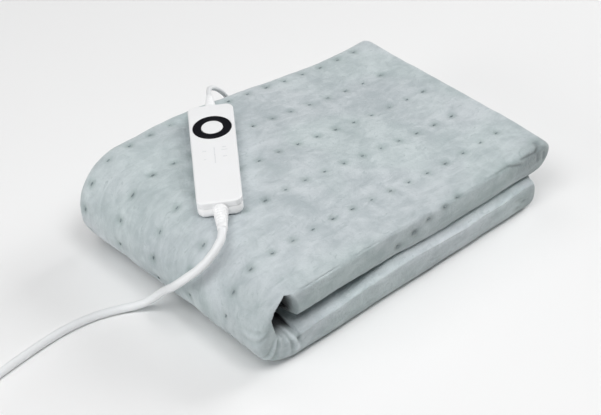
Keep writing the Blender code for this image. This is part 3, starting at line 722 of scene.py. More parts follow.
def sheet_cuts(folds):
    """Cuts across the flat sheet, close where it shows and wide inside the folds."""
    lower_turned = folds.lower_flat + folds.end_arc
    upper_end = -WRAP_ARC - folds.upper_flat
    upper_turned = upper_end - folds.end_arc
    along = np.concatenate([
        spread(0.0, (folds.lower_flat, 0.0080), (lower_turned, 0.0010),
               (lower_turned + INNER_SHARE * folds.lower_flat, 0.026)),
        spread(0.0, (-WRAP_ARC, 0.0011), (upper_end + 0.060, 0.0030), (upper_end, 0.0018),
               (upper_turned, 0.0010), (upper_turned - INNER_SHARE * folds.upper_flat, 0.026)),
    ])
    front, back = folds.front_turn, PAD_SHORT - folds.back_turn
    front_turned, back_turned = front - folds.front_arc, back + folds.back_arc
    across = np.concatenate([
        spread(front, (back, 0.0030), (back_turned, 0.0030), (back_turned + BACK_RUN, HIDDEN_STEP)),
        spread(front, (front_turned, 0.0010), (front_turned - 0.030, 0.0040),
               (front_turned - FRONT_RUN, HIDDEN_STEP)),
        front - folds.front_arc * (0.5 + np.array(RIDGE_CUTS)),
    ])
    return np.unique(along), np.unique(across)


# Tacks on the front edges: how far from the wrap, and how high.
FRONT_TACKS = ((0.0386, 0.0243), (0.1580, 0.0518), (0.1770, 0.0568), (0.1950, 0.0610), (0.2150, 0.0638),
               (0.2320, 0.0656))


# A tack's dimple, deep in the middle with a wide shallow rim: shares of its depth, and how wide.
DIMPLE = ((1.0, 0.0032), (0.35, 0.0070))
TACK_PATCH = 0.016
STITCH = (0.0020, 0.0007, 0.0006)


def tack_places(folds, sizes):
    """Where the tacks are on the flat sheet: rows along its length, each a little out of step."""
    places = []
    for row in range(1, 6):
        across = TACK_FIRST_ROW + row * sizes.tack_rows
        shift = 0.5 * sizes.tack_pitch * (row % 2)
        count = int((folds.upper_flat + WRAP_ARC + folds.lower_flat) / sizes.tack_pitch)
        for k in range(count):
            along = folds.lower_flat - 0.006 - shift - k * sizes.tack_pitch
            places.append((along, across))
    round_turn = folds.front_turn - folds.front_arc * np.linspace(0.02, 0.92, 90)
    for x, z in FRONT_TACKS:
        along = sizes.wrap_reach - WRAP_ARC - x if z > 0.04 else x - sizes.wrap_reach
        down = folds.folded(np.column_stack([np.full(90, along), round_turn, np.zeros(90)]))
        order = np.argsort(down[:, 2])
        places.append((along, float(np.interp(z, down[order, 2], round_turn[order]))))
    return np.array(places)


def true_across(outer, across, folds):
    """Distance over the plush across the sheet, which the tight turns at its front edge stretch."""
    run = np.zeros(outer.shape[:2])
    run[:, 1:] = np.cumsum(np.linalg.norm(np.diff(outer, axis=1), axis=2), axis=1)
    start = int(np.argmin(np.abs(across - folds.front_turn)))
    return folds.front_turn + run - run[:, start:start + 1]


def near_tacks(flat_x, true_y, across, folds, sizes):
    """For each tack, the patch of the grid around it and the distances there along and across."""
    for tack_x, tack_y in tack_places(folds, sizes):
        row = int(np.argmin(np.abs(flat_x[:, 0] - tack_x)))
        middle = float(np.interp(tack_y, across, true_y[row]))
        near_x = np.abs(flat_x[:, 0] - tack_x) < TACK_PATCH
        near_y = np.abs(true_y[row] - middle) < TACK_PATCH
        if near_x.any() and near_y.any():
            patch = np.ix_(near_x, near_y)
            yield patch, flat_x[patch] - tack_x, true_y[patch] - middle


# The long ragged crease in the upper stack's front edge, as a share of the turn, and its size.
LONG_CREASE_AT = 0.30
LONG_CREASE_DEPTH = 0.0012
LONG_CREASE_WIDTH = 0.0016


def outer_relief(along, across, true_y, folds, sizes):
    """How far the plush stands out or is drawn in, over the outer face of the sheet."""
    flat_x = np.repeat(along[:, None], len(across), axis=1)
    height = np.zeros_like(flat_x)
    for patch, off_x, off_y in near_tacks(flat_x, true_y, across, folds, sizes):
        away = off_x ** 2 + off_y ** 2
        for share, wide in DIMPLE:
            height[patch] -= share * sizes.tack_depth * np.exp(-away / (2 * wide ** 2))
    crease = folds.front_turn - LONG_CREASE_AT * folds.front_arc
    ragged = np.array([noise.noise(Vector((a * 60.0, 3.3, 0.0))) + noise.noise(Vector((a * 190.0, 7.7, 0.0)))
                       for a in along])
    strength = smooth((-WRAP_ARC - along) / 0.004) * smooth((along + WRAP_ARC + 0.13) / 0.10)
    deep = LONG_CREASE_DEPTH * (0.25 + 0.75 * strength) * smooth(0.5 + 0.9 * ragged) * (along < -WRAP_ARC)
    height -= deep[:, None] * np.exp(-((across - crease) / LONG_CREASE_WIDTH) ** 2)[None, :]
    for i, a in enumerate(along):
        for j in range(len(across)):
            b = true_y[i, j]
            broad = noise.noise(Vector((a * 28.0, b * 28.0, 1.7)))
            small = noise.noise(Vector((a * 90.0, b * 90.0, 5.1)))
            height[i, j] += sizes.pile * (1.3 * broad + 0.7 * small)
    return height


# Short creases in the front edges near the closed ends: from and to a place in x and z, with a depth.
CREASES = (
    (0.2800, 0.0640, 0.2945, 0.0648, 0.0007),
    (0.2945, 0.0648, 0.3110, 0.0590, 0.0009),
    (0.3126, 0.0636, 0.3300, 0.0626, 0.0009),
    (0.3300, 0.0626, 0.3390, 0.0672, 0.0014),
    (0.3336, 0.0600, 0.3345, 0.0520, 0.0008),
    (0.3420, 0.0580, 0.3428, 0.0500, 0.0008),
    (0.3088, 0.0223, 0.3224, 0.0135, 0.0010),
    (0.3064, 0.0171, 0.3141, 0.0089, 0.0008),
)
CREASE_WIDTH = 0.0014


def creased(outer):
    """How far the front edges' creases near the closed ends draw the plush in."""
    x, y, z = outer[..., 0], outer[..., 1], outer[..., 2]
    drawn = np.zeros(x.shape)
    for x0, z0, x1, z1, depth in CREASES:
        off, share = away_from_line(x, z, (x0, z0), (x1, z1))
        drawn = np.maximum(drawn, depth * np.exp(-(off / CREASE_WIDTH) ** 2))
    return drawn * smooth((0.012 - y) / 0.008)


# Painted light and shade on the front edges, by the distance past the line where they stand out most:
# painted shade where an edge turns under and a painted highlight on the lower stack's ridge.
PAINTED_LIGHT_COLUMNS = ("past_ridge", "upper_stack", "lower_stack")
PAINTED_LIGHT = (
    (-0.034, 1.00, 0.84),
    (-0.024, 0.98, 0.86),
    (-0.014, 0.96, 0.90),
    (-0.005, 0.91, 0.94),
    (-0.001, 0.88, 1.10),
    (0.002, 0.86, 1.30),
    (0.006, 0.84, 1.26),
    (0.011, 0.84, 1.10),
    (0.017, 0.84, 0.92),
    (0.024, 0.84, 0.78),
)
# The lower stack shows less of its turn towards the closed ends, so its painted light and shade change
# faster there:
# from and to a place along, and how many times faster.
LOWER_FASTER = ((0.09, 0.24), (1.0, 1.9))
# A dimple's painted shade: how dark, how much that varies, how much darker in front, how wide, how much
# longer.
DIMPLE_SHADE = (0.30, 0.20, 0.16, 0.0023, 1.3)
# How much painted shade darkens the plush in front at the closed ends, in the upper stack's lower half
# there, on the wrap beside the front, along the wrap's slanting fold, in a gather's furrow and in a short
# crease.
END_SHADE = 0.16
UNDER_SHADE = 0.13
WRAP_SHADE = 0.13
FOLD_SHADE = 0.12
GATHER_SHADE = 0.20
CREASE_SHADE = 0.36


def painted_light_tone(flat_x, true_y, across, outer, folds, sizes):
    """Painted light and shade from place to place: edges turned away get painted shade, and so do the
    dimples.
    """
    x, y, z = outer[..., 0], outer[..., 1], outer[..., 2]
    ridge = int(np.argmin(np.abs(across - folds.front_turn + 0.5 * folds.front_arc)))
    past = true_y[:, ridge:ridge + 1] - true_y
    is_upper = smooth((-0.5 * WRAP_ARC - flat_x) / (0.4 * WRAP_ARC))
    is_lower = smooth((flat_x - 0.004) / 0.030)
    # Painted shade where each stack's front edge turns under, and a painted highlight on the lower stack's
    # ridge.
    tone = 1.0 + (column_at(PAINTED_LIGHT, PAINTED_LIGHT_COLUMNS, "upper_stack", past) - 1.0) * is_upper
    past = past * np.where(past > 0.002, np.interp(x, *LOWER_FASTER), 1.0)
    tone += (column_at(PAINTED_LIGHT, PAINTED_LIGHT_COLUMNS, "lower_stack", past) - 1.0) * is_lower
    # Painted shade in each tack's dimple, darker on the front edges.
    for patch, off_x, off_y in near_tacks(flat_x, true_y, across, folds, sizes):
        painted_shade, varies, front, wide, longer = DIMPLE_SHADE
        spot = Vector((float(x[patch][0, 0]) * 31.0, float(y[patch][0, 0]) * 31.0, 2.0))
        depth = painted_shade + varies * noise.noise(spot) + front * float(y[patch].mean() < 0.004)
        tone[patch] *= 1.0 - depth * np.exp(-((off_x / longer) ** 2 + off_y ** 2) / (2 * wide ** 2))
    # Painted shade in front at the closed ends, under the upper stack's lower half, on the wrap beside the
    # front and along its fold.
    in_front = smooth((0.016 - y) / 0.010)
    tone *= 1.0 - END_SHADE * smooth((x - 0.306) / 0.022) * in_front
    under = smooth((x - 0.286) / 0.015) * smooth((0.0668 - z) / 0.0030) * (z > 0.050)
    tone *= 1.0 - UNDER_SHADE * under * in_front
    on_wrap = smooth((0.030 - x) / 0.020)
    tone *= 1.0 - WRAP_SHADE * on_wrap * smooth((0.075 - y) / 0.050)
    fold = np.exp(-((y - 0.066 + 0.10 * (0.040 - z)) / 0.007) ** 2) * smooth((0.062 - z) / 0.020)
    tone *= 1.0 - FOLD_SHADE * on_wrap * fold
    # Painted highlight on the gathers' crests and painted shade in their furrows; painted shade in the short
    # creases.
    tone *= 1.0 + GATHER_SHADE * gathers(outer)
    return tone * (1.0 - CREASE_SHADE * np.clip(creased(outer) / 0.0010, 0.0, 1.0))


# Gathers round the corner's hollows: how high they stand, how far out they start and end, how close
# they are round the turn, and which parts of the turn have them, under the hollows and left of them.
GATHER_HEIGHT = 0.0013
GATHER_OUT = (0.020, 0.052)
GATHER_CLOSE = 27.0
GATHER_UNDER = (-2.3, -0.95)
GATHER_LEFT = 2.2
LEFT_SHARE = 0.45


def gathers(outer):
    """Gathers that run out from the corner's hollows, from -1 in a furrow to 1 on a crest."""
    x, y, z = outer[..., 0], outer[..., 1], outer[..., 2]
    away_x, away_z = x - GATHER_MIDDLE[0], z - GATHER_MIDDLE[1]
    out = np.hypot(away_x, away_z)
    turn = np.arctan2(away_z, away_x)
    start, end = GATHER_OUT
    window = smooth((out - start) / 0.006) * smooth((end - out) / 0.014) * smooth((0.030 - y) / 0.02)
    left = LEFT_SHARE * smooth((np.abs(turn) - GATHER_LEFT) / 0.3)
    under = smooth((turn - GATHER_UNDER[0]) / 0.3) * smooth((GATHER_UNDER[1] - turn) / 0.3)
    wave = np.sin(turn * GATHER_CLOSE + 1.3 * np.sin(out * 120.0))
    return window * np.maximum(left, under) * wave * (0.6 + 0.4 * np.sin(turn * 9.0 + 1.0))


def pad_points(folds, along, across, sizes):
    """Outer face, rim and inner face of the folded sheet as three grids, and what the finish needs: the flat
    sheet's places, the hollow's painted shade, and painted light and shade over the plush.
    """
    flat_x, flat_y = np.meshgrid(along, across, indexing="ij")
    shape = flat_x.shape

    def layer(swell, height):
        x, y = flat_x.copy(), flat_y.copy()
        x[0, :] -= swell
        x[-1, :] += swell
        y[:, 0] -= swell
        y[:, -1] += swell
        points = np.stack([x, y, np.full(shape, height)], axis=-1).reshape(-1, 3)
        return folds.folded(points).reshape(*shape, 3)

    outer, rim, inner = layer(0.0, 0.0), layer(0.0012, sizes.ply / 2), layer(0.0, sizes.ply)
    normal = np.cross(np.gradient(outer, axis=0), np.gradient(outer, axis=1))
    normal /= np.maximum(np.linalg.norm(normal, axis=-1, keepdims=True), 1e-12)
    facing = np.sign(np.sum(normal * (outer - inner), axis=-1, keepdims=True))
    pushed, from_mouth = hollow_at(outer[..., 0], outer[..., 2])
    in_front = smooth((0.050 - outer[..., 1]) / 0.01)
    true_y = true_across(outer, across, folds)
    relief = outer_relief(along, across, true_y, folds, sizes)
    relief += GATHER_HEIGHT * gathers(outer) - creased(outer)
    relief = relief * (1.0 - in_front * (1.0 - smooth((from_mouth - 0.0006) / 0.003)))
    share, _ = folds.under_control(outer[..., 0], outer[..., 1])
    on_top = outer[..., 2] > ON_TOP
    relief = np.where(on_top, relief * (1.0 - share), relief)
    floor = smooth(outer[..., 2] / 0.006)
    outer = outer + normal * facing * (relief * floor)[..., None]
    # Painted shade: how near black the inside of the deep hollow is painted.
    painted_shade = smooth((pushed * in_front - 0.005) / 0.006)
    tone = painted_light_tone(flat_x, true_y, across, outer, folds, sizes)
    return outer, rim, inner, np.stack([flat_x, true_y, np.zeros(shape)], axis=-1), painted_shade, tone


def pad_mesh(folds, sizes):
    """The pad as one closed skin with its flat-sheet places kept for the finish."""
    along, across = sheet_cuts(folds)
    outer, rim, inner, flat, painted_shade, tone = pad_points(folds, along, across, sizes)
    rows, columns = flat.shape[:2]
    count = rows * columns
    index = np.arange(count).reshape(rows, columns)
    a, b, c, d = index[:-1, :-1], index[1:, :-1], index[1:, 1:], index[:-1, 1:]
    outer_faces = np.stack([a, d, c, b], axis=-1).reshape(-1, 4)
    inner_faces = np.stack([a, b, c, d], axis=-1).reshape(-1, 4) + 2 * count
    border = np.array([*index[:, 0], *index[-1, 1:], *index[-2::-1, -1], *index[0, -2:0:-1]])
    after = np.roll(border, -1)
    strips = [np.stack([border + k, after + k, after + k + count, border + k + count], axis=-1)
              for k in (0, count)]
    faces = np.concatenate([outer_faces, inner_faces, *strips])
    points = np.concatenate([grid.reshape(-1, 3) for grid in (outer, rim, inner)])
    kept, faces = np.unique(faces, return_inverse=True)
    faces = faces.reshape(-1, 4)
    mesh = bpy.data.meshes.new("pad_plush")
    mesh.from_pydata((points[kept] + np.array(FRONT_CORNER)).tolist(), [], faces.tolist())
    place = mesh.attributes.new("sheet", "FLOAT_VECTOR", "POINT")
    flat_all = np.concatenate([flat.reshape(-1, 3)] * 3)[kept]
    place.data.foreach_set("vector", flat_all.astype(np.float32).ravel())
    # The hollow's painted shade and the painted light and shade over the plush, kept on the mesh for the
    # finish.
    for kind, values in (("fold_shade", painted_shade), ("nap_and_painted_light", tone)):
        shade = mesh.attributes.new(kind, "FLOAT", "POINT")
        shade.data.foreach_set("value", np.concatenate([values.ravel()] * 3)[kept].astype(np.float32))
    shell = bmesh.new()
    shell.from_mesh(mesh)
    bmesh.ops.recalc_face_normals(shell, faces=shell.faces)
    shell.to_mesh(mesh)
    shell.free()
    mesh.polygons.foreach_set("use_smooth", [True] * len(mesh.polygons))
    return mesh


class HEATEDPAD_OT_pad(bpy.types.Operator):
    """Fold the plush pad"""

    bl_idname = "heatedpad.pad"
    bl_label = "Plush pad"

    def execute(self, context):
        sizes = context.scene.pad_sizes
        folds = Folds(sizes)
        mesh = pad_mesh(folds, sizes)
        pad = keep("pad_plush", mesh, "plush", ["pad"])
        flat = ((folds.lower_flat + folds.upper_flat) * (1 + INNER_SHARE) + 2 * folds.end_arc + WRAP_ARC,
                folds.front_arc + folds.back_arc + TOP_RUN + BACK_RUN + FRONT_RUN)
        return {"FINISHED"}


class HEATEDPAD_OT_tacks(bpy.types.Operator):
    """Set the tack stitches in their dimples"""

    bl_idname = "heatedpad.tacks"
    bl_label = "Tack stitches"

    def execute(self, context):
        sizes = context.scene.pad_sizes
        folds = Folds(sizes)
        places = tack_places(folds, sizes)
        folded_in = folds.front_turn - folds.front_arc
        places = places[(places[:, 1] < PAD_SHORT - folds.back_turn) & (places[:, 1] > folded_in)]
        step = 0.0011
        steps = ((0.0, 0.0, 0.0), (step, 0.0, 0.0), (0.0, step, 0.0), (0.0, 0.0, sizes.ply))
        middle = np.column_stack([places, np.zeros(len(places))])
        shell = bmesh.new()
        for here, ahead, aside, above in zip(*(folds.folded(middle + np.array(off)) for off in steps)):
            share, _ = folds.under_control(here[:1], here[1:2])
            hidden = share[0] > 0.4 and here[2] > ON_TOP
            if hidden or here[2] < 0.004:
                continue
            long = Vector(ahead - here).normalized()
            out = long.cross(Vector(aside - here)).normalized()
            if out.dot(Vector(here - above)) < 0.0:
                out = -out
            wide = out.cross(long).normalized()
            axes = Matrix((long, wide, out)).transposed().to_4x4()
            place = Matrix.Translation(from_corner(here) - out * sizes.tack_depth)
            size = Matrix.Diagonal((*STITCH, 1.0))
            bmesh.ops.create_icosphere(shell, subdivisions=1, radius=1.0, matrix=place @ axes @ size)
        built("tack_stitches", shell, None, "thread")
        return {"FINISHED"}


# ------------------------------------------------------------------ plastic pieces
CORNER_STEPS = 12
EDGE_STEPS = 6


def outline(length, width, corner, taper):
    """A rectangle with round corners, anticlockwise, which may get narrower towards its -X end."""
    points = []
    for turn in range(4):
        sign_x = 1 if turn in (0, 3) else -1
        sign_y = 1 if turn in (0, 1) else -1
        centre = (sign_x * (length / 2 - corner), sign_y * (width / 2 - corner))
        for step in range(CORNER_STEPS + 1):
            angle = math.pi / 2 * (turn + step / CORNER_STEPS)
            x, y = centre[0] + corner * math.cos(angle), centre[1] + corner * math.sin(angle)
            points.append((x, y * (1.0 - taper * (0.5 - x / length))))
    return points


def bridge(shell, rings, closed=False):
    """Faces between each ring of points and the next."""
    pairs = list(zip(rings, rings[1:]))
    if closed:
        pairs.append((rings[-1], rings[0]))
    for low, high in pairs:
        for k in range(len(low)):
            after = (k + 1) % len(low)
            shell.faces.new((low[k], low[after], high[after], high[k]))


def wall(shell, length, width, corner, sections, taper):
    """Round-cornered rings from sections, each a height and how far its outline is drawn in."""
    rings = []
    for height, inset in sections:
        ring = outline(length - 2 * inset, width - 2 * inset, corner - inset, taper)
        rings.append([shell.verts.new((x, y, height)) for x, y in ring])
    bridge(shell, rings)
    return rings


def slab(length, width, corner, sections, taper=0.0):
    """A round-cornered block from its sections."""
    shell = bmesh.new()
    rings = wall(shell, length, width, corner, sections, taper)
    shell.faces.new(rings[0][::-1])
    shell.faces.new(rings[-1])
    return shell


def rounded_edge(height, radius, down=False):
    """Sections over a round edge: up to a flat top, or with down from a flat underside."""
    rows = []
    for step in range(EDGE_STEPS + 1):
        angle = math.pi / 2 * step / EDGE_STEPS
        over, up = radius - radius * math.cos(angle), radius - radius * math.sin(angle)
        rows.append((height + over, up) if down else (height - up, over))
    return rows


def circle(shell, radius, height, steps, middle=0.0):
    """A ring of points about an upright axis."""
    angles = [2 * math.pi * k / steps for k in range(steps)]
    return [shell.verts.new((middle + radius * math.cos(a), radius * math.sin(a), height)) for a in angles]


def turned(profile, steps, closed=False):
    """A piece turned about its own Z from pairs of a radius and a height."""
    shell = bmesh.new()
    rings = [circle(shell, radius, height, steps) for radius, height in profile]
    bridge(shell, rings, closed)
    if not closed:
        shell.faces.new(rings[0][::-1])
        shell.faces.new(rings[-1])
    return shell


BASE_EDGE = 0.0040
COVER_EDGE = 0.0014
SEAM_STEP = 0.0002
RECESS_LIP = 0.0003
RECESS_DEPTH = 0.0020
WELL_DEPTH = 0.0046
WELL_STEPS = 64
RING_STEPS = 96
RING_PROUD = 0.0003
RING_EDGE = 0.0004
BUTTON_TOP = 0.0006
BUTTON_DEEP = 0.0036
BUTTON_EDGE = 0.0008
BUTTON_ROUND = (0.0007, 0.0006)
BUTTON_DOME = 0.0002
MARK_HIGH = 0.00012
# Printed marks, from the middle of the face: along, across, length and width.
MARKS = (
    (-0.0050, 0.0000, 0.0230, 0.00080),
    (0.0020, 0.0085, 0.0009, 0.0036),
    (-0.0100, 0.0085, 0.0009, 0.0022),
    (0.0055, -0.0085, 0.0009, 0.0036),
    (0.0015, -0.0085, 0.0009, 0.0052),
    (-0.0080, -0.0085, 0.0009, 0.0036),
)


class HEATEDPAD_OT_control(bpy.types.Operator):
    """Make the hand control: shells, ring, push button and printed marks"""

    bl_idname = "heatedpad.control"
    bl_label = "Hand control"

    def execute(self, context):
        sizes = context.scene.control_sizes
        face = control_frame()
        seam = -sizes.cover
        sections = [*rounded_edge(-sizes.thick, BASE_EDGE, down=True), (seam - 0.0005, 0.0),
                    (seam - 0.0003, SEAM_STEP)]
        base = slab(sizes.length, sizes.width, sizes.corner, sections, sizes.taper)
        built("control_lower_shell", base, face, "shell", ["control_base"])
        self.cover(sizes, face)
        self.ring_and_button(sizes, face)
        self.marks(face)
        return {"FINISHED"}

    def cover(self, sizes, face):
        """The cover with its round recess, cut in the mesh by joining the recess rim to the face's rim."""
        seam = -sizes.cover
        sections = [(seam, SEAM_STEP), (seam + SEAM_STEP, 0.0), *rounded_edge(0.0, COVER_EDGE)]
        shell = bmesh.new()
        rings = wall(shell, sizes.length, sizes.width, sizes.corner, sections, sizes.taper)
        shell.faces.new(rings[0][::-1])
        recess = sizes.ring + GAP
        steps = ((recess + RECESS_LIP, 0.0), (recess, -RECESS_LIP), (recess, -RECESS_DEPTH),
                 (sizes.bore, -RECESS_DEPTH), (sizes.bore, -WELL_DEPTH))
        wells = [circle(shell, radius, height, WELL_STEPS, sizes.ring_at) for radius, height in steps]
        bridge(shell, wells)
        shell.faces.new(wells[-1])
        edges = [shell.edges.get((ring[k], ring[(k + 1) % len(ring)]))
                 for ring in (rings[-1], wells[0]) for k in range(len(ring))]
        bmesh.ops.triangle_fill(shell, edges=edges, use_beauty=True)
        cover = built("control_cover_shell", shell, face, "shell", ["control_cover"])
        soften = cover.modifiers.new("weighted", "WEIGHTED_NORMAL")
        soften.keep_sharp = True

    def ring_and_button(self, sizes, face):
        spot = face @ Matrix.Translation((sizes.ring_at, 0.0, 0.0))
        low, high, edge = GAP - RECESS_DEPTH, RING_PROUD, RING_EDGE
        soft = 0.3 * edge
        profile = [(sizes.ring, low), (sizes.ring, high - edge), (sizes.ring - soft, high - soft),
                   (sizes.ring - edge, high), (sizes.bore + edge, high), (sizes.bore + soft, high - soft),
                   (sizes.bore, high - edge), (sizes.bore, low)]
        ring = turned(profile, RING_STEPS, closed=True)
        built("control_ring_gloss", ring, spot, "black", ["control_ring"])
        wall_top = BUTTON_TOP - BUTTON_EDGE
        profile = [(sizes.button, BUTTON_TOP - BUTTON_DEEP), (sizes.button, wall_top)]
        inset, rise = BUTTON_ROUND
        for step in range(1, EDGE_STEPS + 1):
            angle = math.pi / 2 * step / EDGE_STEPS
            profile.append((sizes.button - inset * (1 - math.cos(angle)), wall_top + rise * math.sin(angle)))
        for share in (0.75, 0.5, 0.25):
            profile.append((sizes.button * share, BUTTON_TOP - BUTTON_DOME * (share - 0.2)))
        built("push_button", turned(profile, RING_STEPS), spot, "shell", ["control_button"], PUSHED)

    def marks(self, face):
        """Pale printed marks under the ring: a dividing line, and small plain bars each side."""
        shell = bmesh.new()
        for along, across, length, width in MARKS:
            place = Matrix.Translation((along, across, MARK_HIGH / 2))
            size = Matrix.Diagonal((length, width, MARK_HIGH, 1.0))
            bmesh.ops.create_cube(shell, size=1.0, matrix=place @ size)
        built("control_marks", shell, face, "mark", rounded=False)


# ------------------------------------------------------------------ reliefs, leads and plug
# Strain reliefs, by the CAD node: length, widest and narrowest radius, and number of grooves.
RELIEFS = {
    "mains_relief": (0.0265, 0.0066, 0.0041, 6),
    "pad_relief": (0.0240, 0.0060, 0.0029, 5),
    "plug_relief": (0.0240, 0.0058, 0.0041, 5),
    "connector_relief": (0.0220, 0.0048, 0.0027, 5),
}
# One groove of a relief: how far through its pitch, and how deep it is there.
GROOVE = ((0.0, 0.0), (0.10, 0.0006), (0.22, 0.0009), (0.42, 0.0009), (0.55, 0.0006), (0.66, 0.0),
          (0.82, -0.0001))


def relief_shell(length, wide, narrow, ribs):
    """A tapered strain relief along +Z with soft raised rings."""
    profile = [(wide - 0.0005, 0.0), (wide, 0.0005), (wide, length * 0.12)]
    pitch = length * 0.72 / ribs
    for rib in range(ribs):
        for share, drop in GROOVE:
            at = length * 0.16 + (rib + share) * pitch
            radius = wide + (narrow - wide) * at / length
            profile.append((radius - drop * radius / wide, at))
    profile += [(narrow + 0.0004, length * 0.93), (narrow + 0.0003, length - 0.0006), (narrow, length)]
    return turned(profile, 40)


def pointing(start, direction):
    return Matrix.Translation(start) @ Vector(direction).to_track_quat("Z", "Y").to_matrix().to_4x4()


def control_end(side, off_wall):
    """A place on the control's long axis, off its end wall on one side, from the pad's corner."""
    sizes = bpy.context.scene.control_sizes
    place = Vector((side * (sizes.length / 2 + off_wall), 0.0, -sizes.thick / 2))
    return CONTROL_FACE + control_axes() @ place


def through(places, spacing):
    """Even points on a smooth curve through a lead's places, with a short straight start and end."""
    spots = [Vector(p) for p in places]
    ends = [2 * spots[0] - spots[1], *spots, 2 * spots[-1] - spots[-2]]
    fine = []
    for a, b, c, d in zip(ends, ends[1:], ends[2:], ends[3:]):
        for step in range(24):
            t = step / 24
            bend = (2 * a - 5 * b + 4 * c - d) * t * t + (3 * b - a - 3 * c + d) * t ** 3
            fine.append(0.5 * (2 * b + (c - a) * t + bend))
    fine.append(spots[-1])
    run = np.concatenate([[0.0], np.cumsum([(q - p).length for p, q in zip(fine, fine[1:])])])
    count = max(2, round(run[-1] / spacing))
    wanted = np.linspace(0.0, run[-1], count + 1)
    return [Vector([float(np.interp(w, run, [p[k] for p in fine])) for k in range(3)]) for w in wanted]


def lead(name, points, width, nodes, steps=10):
    """A round lead as one curve through its points."""
    curve = bpy.data.curves.new(name, "CURVE")
    curve.dimensions = "3D"
    curve.bevel_depth = width / 2
    curve.bevel_resolution = steps // 2
    curve.use_fill_caps = True
    line = curve.splines.new("POLY")
    line.points.add(len(points) - 1)
    for spot, point in zip(line.points, points):
        spot.co = (*from_corner(point), 1.0)
    line.use_smooth = True
    return keep(name, curve, "sheath", nodes)


COIL_PLACE = (-0.268, 0.100)
COIL_START = math.radians(75.0)
COIL_END = math.radians(110.0)
COIL_SPACING = 0.0074
COIL_LOW = 0.0052
COIL_HIGH = 0.0125
# How the turns lie in the bundle: spacings out from the middle, and 0 low or 1 high.
COIL_COLUMNS = ("turn", "out", "high")
COIL_LAY = (
    (0.00, 2.15, -0.20),
    (0.15, 1.00, 0.0),
    (0.90, 1.00, 0.0),
    (1.10, 0.00, 0.0),
    (1.85, 0.00, 0.0),
    (2.10, -1.00, 0.0),
    (2.85, -1.00, 0.0),
    (3.10, -1.00, 1.0),
    (3.85, -1.00, 1.0),
    (4.10, 0.00, 1.0),
    (4.80, 0.00, 1.0),
    (5.00, 1.00, 1.0),
    (5.10, 1.00, 1.0),
)


def eased(at, name):
    """How the coil lies at a turn, with a soft change between the table's rows."""
    column = COIL_COLUMNS.index(name)
    for before, after in zip(COIL_LAY, COIL_LAY[1:]):
        if at <= after[0]:
            share = float(smooth((at - before[0]) / (after[0] - before[0])))
            return before[column] + (after[column] - before[column]) * share
    return COIL_LAY[-1][column]


def coil_points(sizes):
    """The coil's turns, one after another in its bundle."""
    total = 2 * math.pi * sizes.turns + COIL_END - COIL_START
    count = 18 * (sizes.turns + 1)
    points = []
    for k in range(1, count):
        angle = COIL_START + total * k / count
        turn = total * k / count / (2 * math.pi)
        out = sizes.coil_radius + COIL_SPACING * eased(turn, "out")
        high = COIL_LOW + (COIL_HIGH - COIL_LOW) * eased(turn, "high")
        points.append(Vector((COIL_PLACE[0] + out * math.cos(angle),
                              COIL_PLACE[1] + out * math.sin(angle), high)))
    return points


PLUG_PLACE = (-0.375, 0.020)
PLUG_YAW = math.radians(262.0)
PLUG_BODY = (0.036, 0.035, 0.0140)
PLUG_EDGE = 0.0035
PLUG_CORNER = 0.0085
PIN_SPACING = 0.0186
PIN_PROFILE = ((0.0024, 0.0), (0.0024, 0.0168), (0.0022, 0.0179), (0.0016, 0.0187), (0.0008, 0.0190))
MAINS_STEP = 0.011
PAD_LEAD_STEP = 0.0080
# Places off a relief's tip that keep a lead straight where it leaves and where it arrives.
STRAIGHT_OUT = (0.0, 0.003, 0.006)
STRAIGHT_IN = (0.008, 0.004, 0.0)
STRAP_YAW = math.radians(200.0)
STRAP_THICK = 0.0008
STRAP_HALF = (0.0120 + STRAP_THICK, 0.0040)
STRAP_LOW = 0.0011
STRAP_HIGH = 0.0162 + STRAP_THICK
STRAP_CORNER = 0.0030
# The connector on the pad's back edge: from and to along the edge, its depth, its low and high side.
CONNECTOR = (0.254, 0.298, 0.024, 0.0010, 0.0130)
CONNECTOR_EDGE = 0.0020
CONNECTOR_CORNER = 0.0045


def plug_frame():
    """Where the plug lies, from the pad's corner, with its pins towards its own +X."""
    return Matrix.Translation((*PLUG_PLACE, PLUG_BODY[2] / 2)) @ Matrix.Rotation(PLUG_YAW, 4, "Z")


def block(length, width, thick, corner, edge):
    """A block with round corners and round edges, about its own middle."""
    sections = [*rounded_edge(-thick / 2, edge, down=True), *rounded_edge(thick / 2, edge)]
    return slab(length, width, corner, sections)


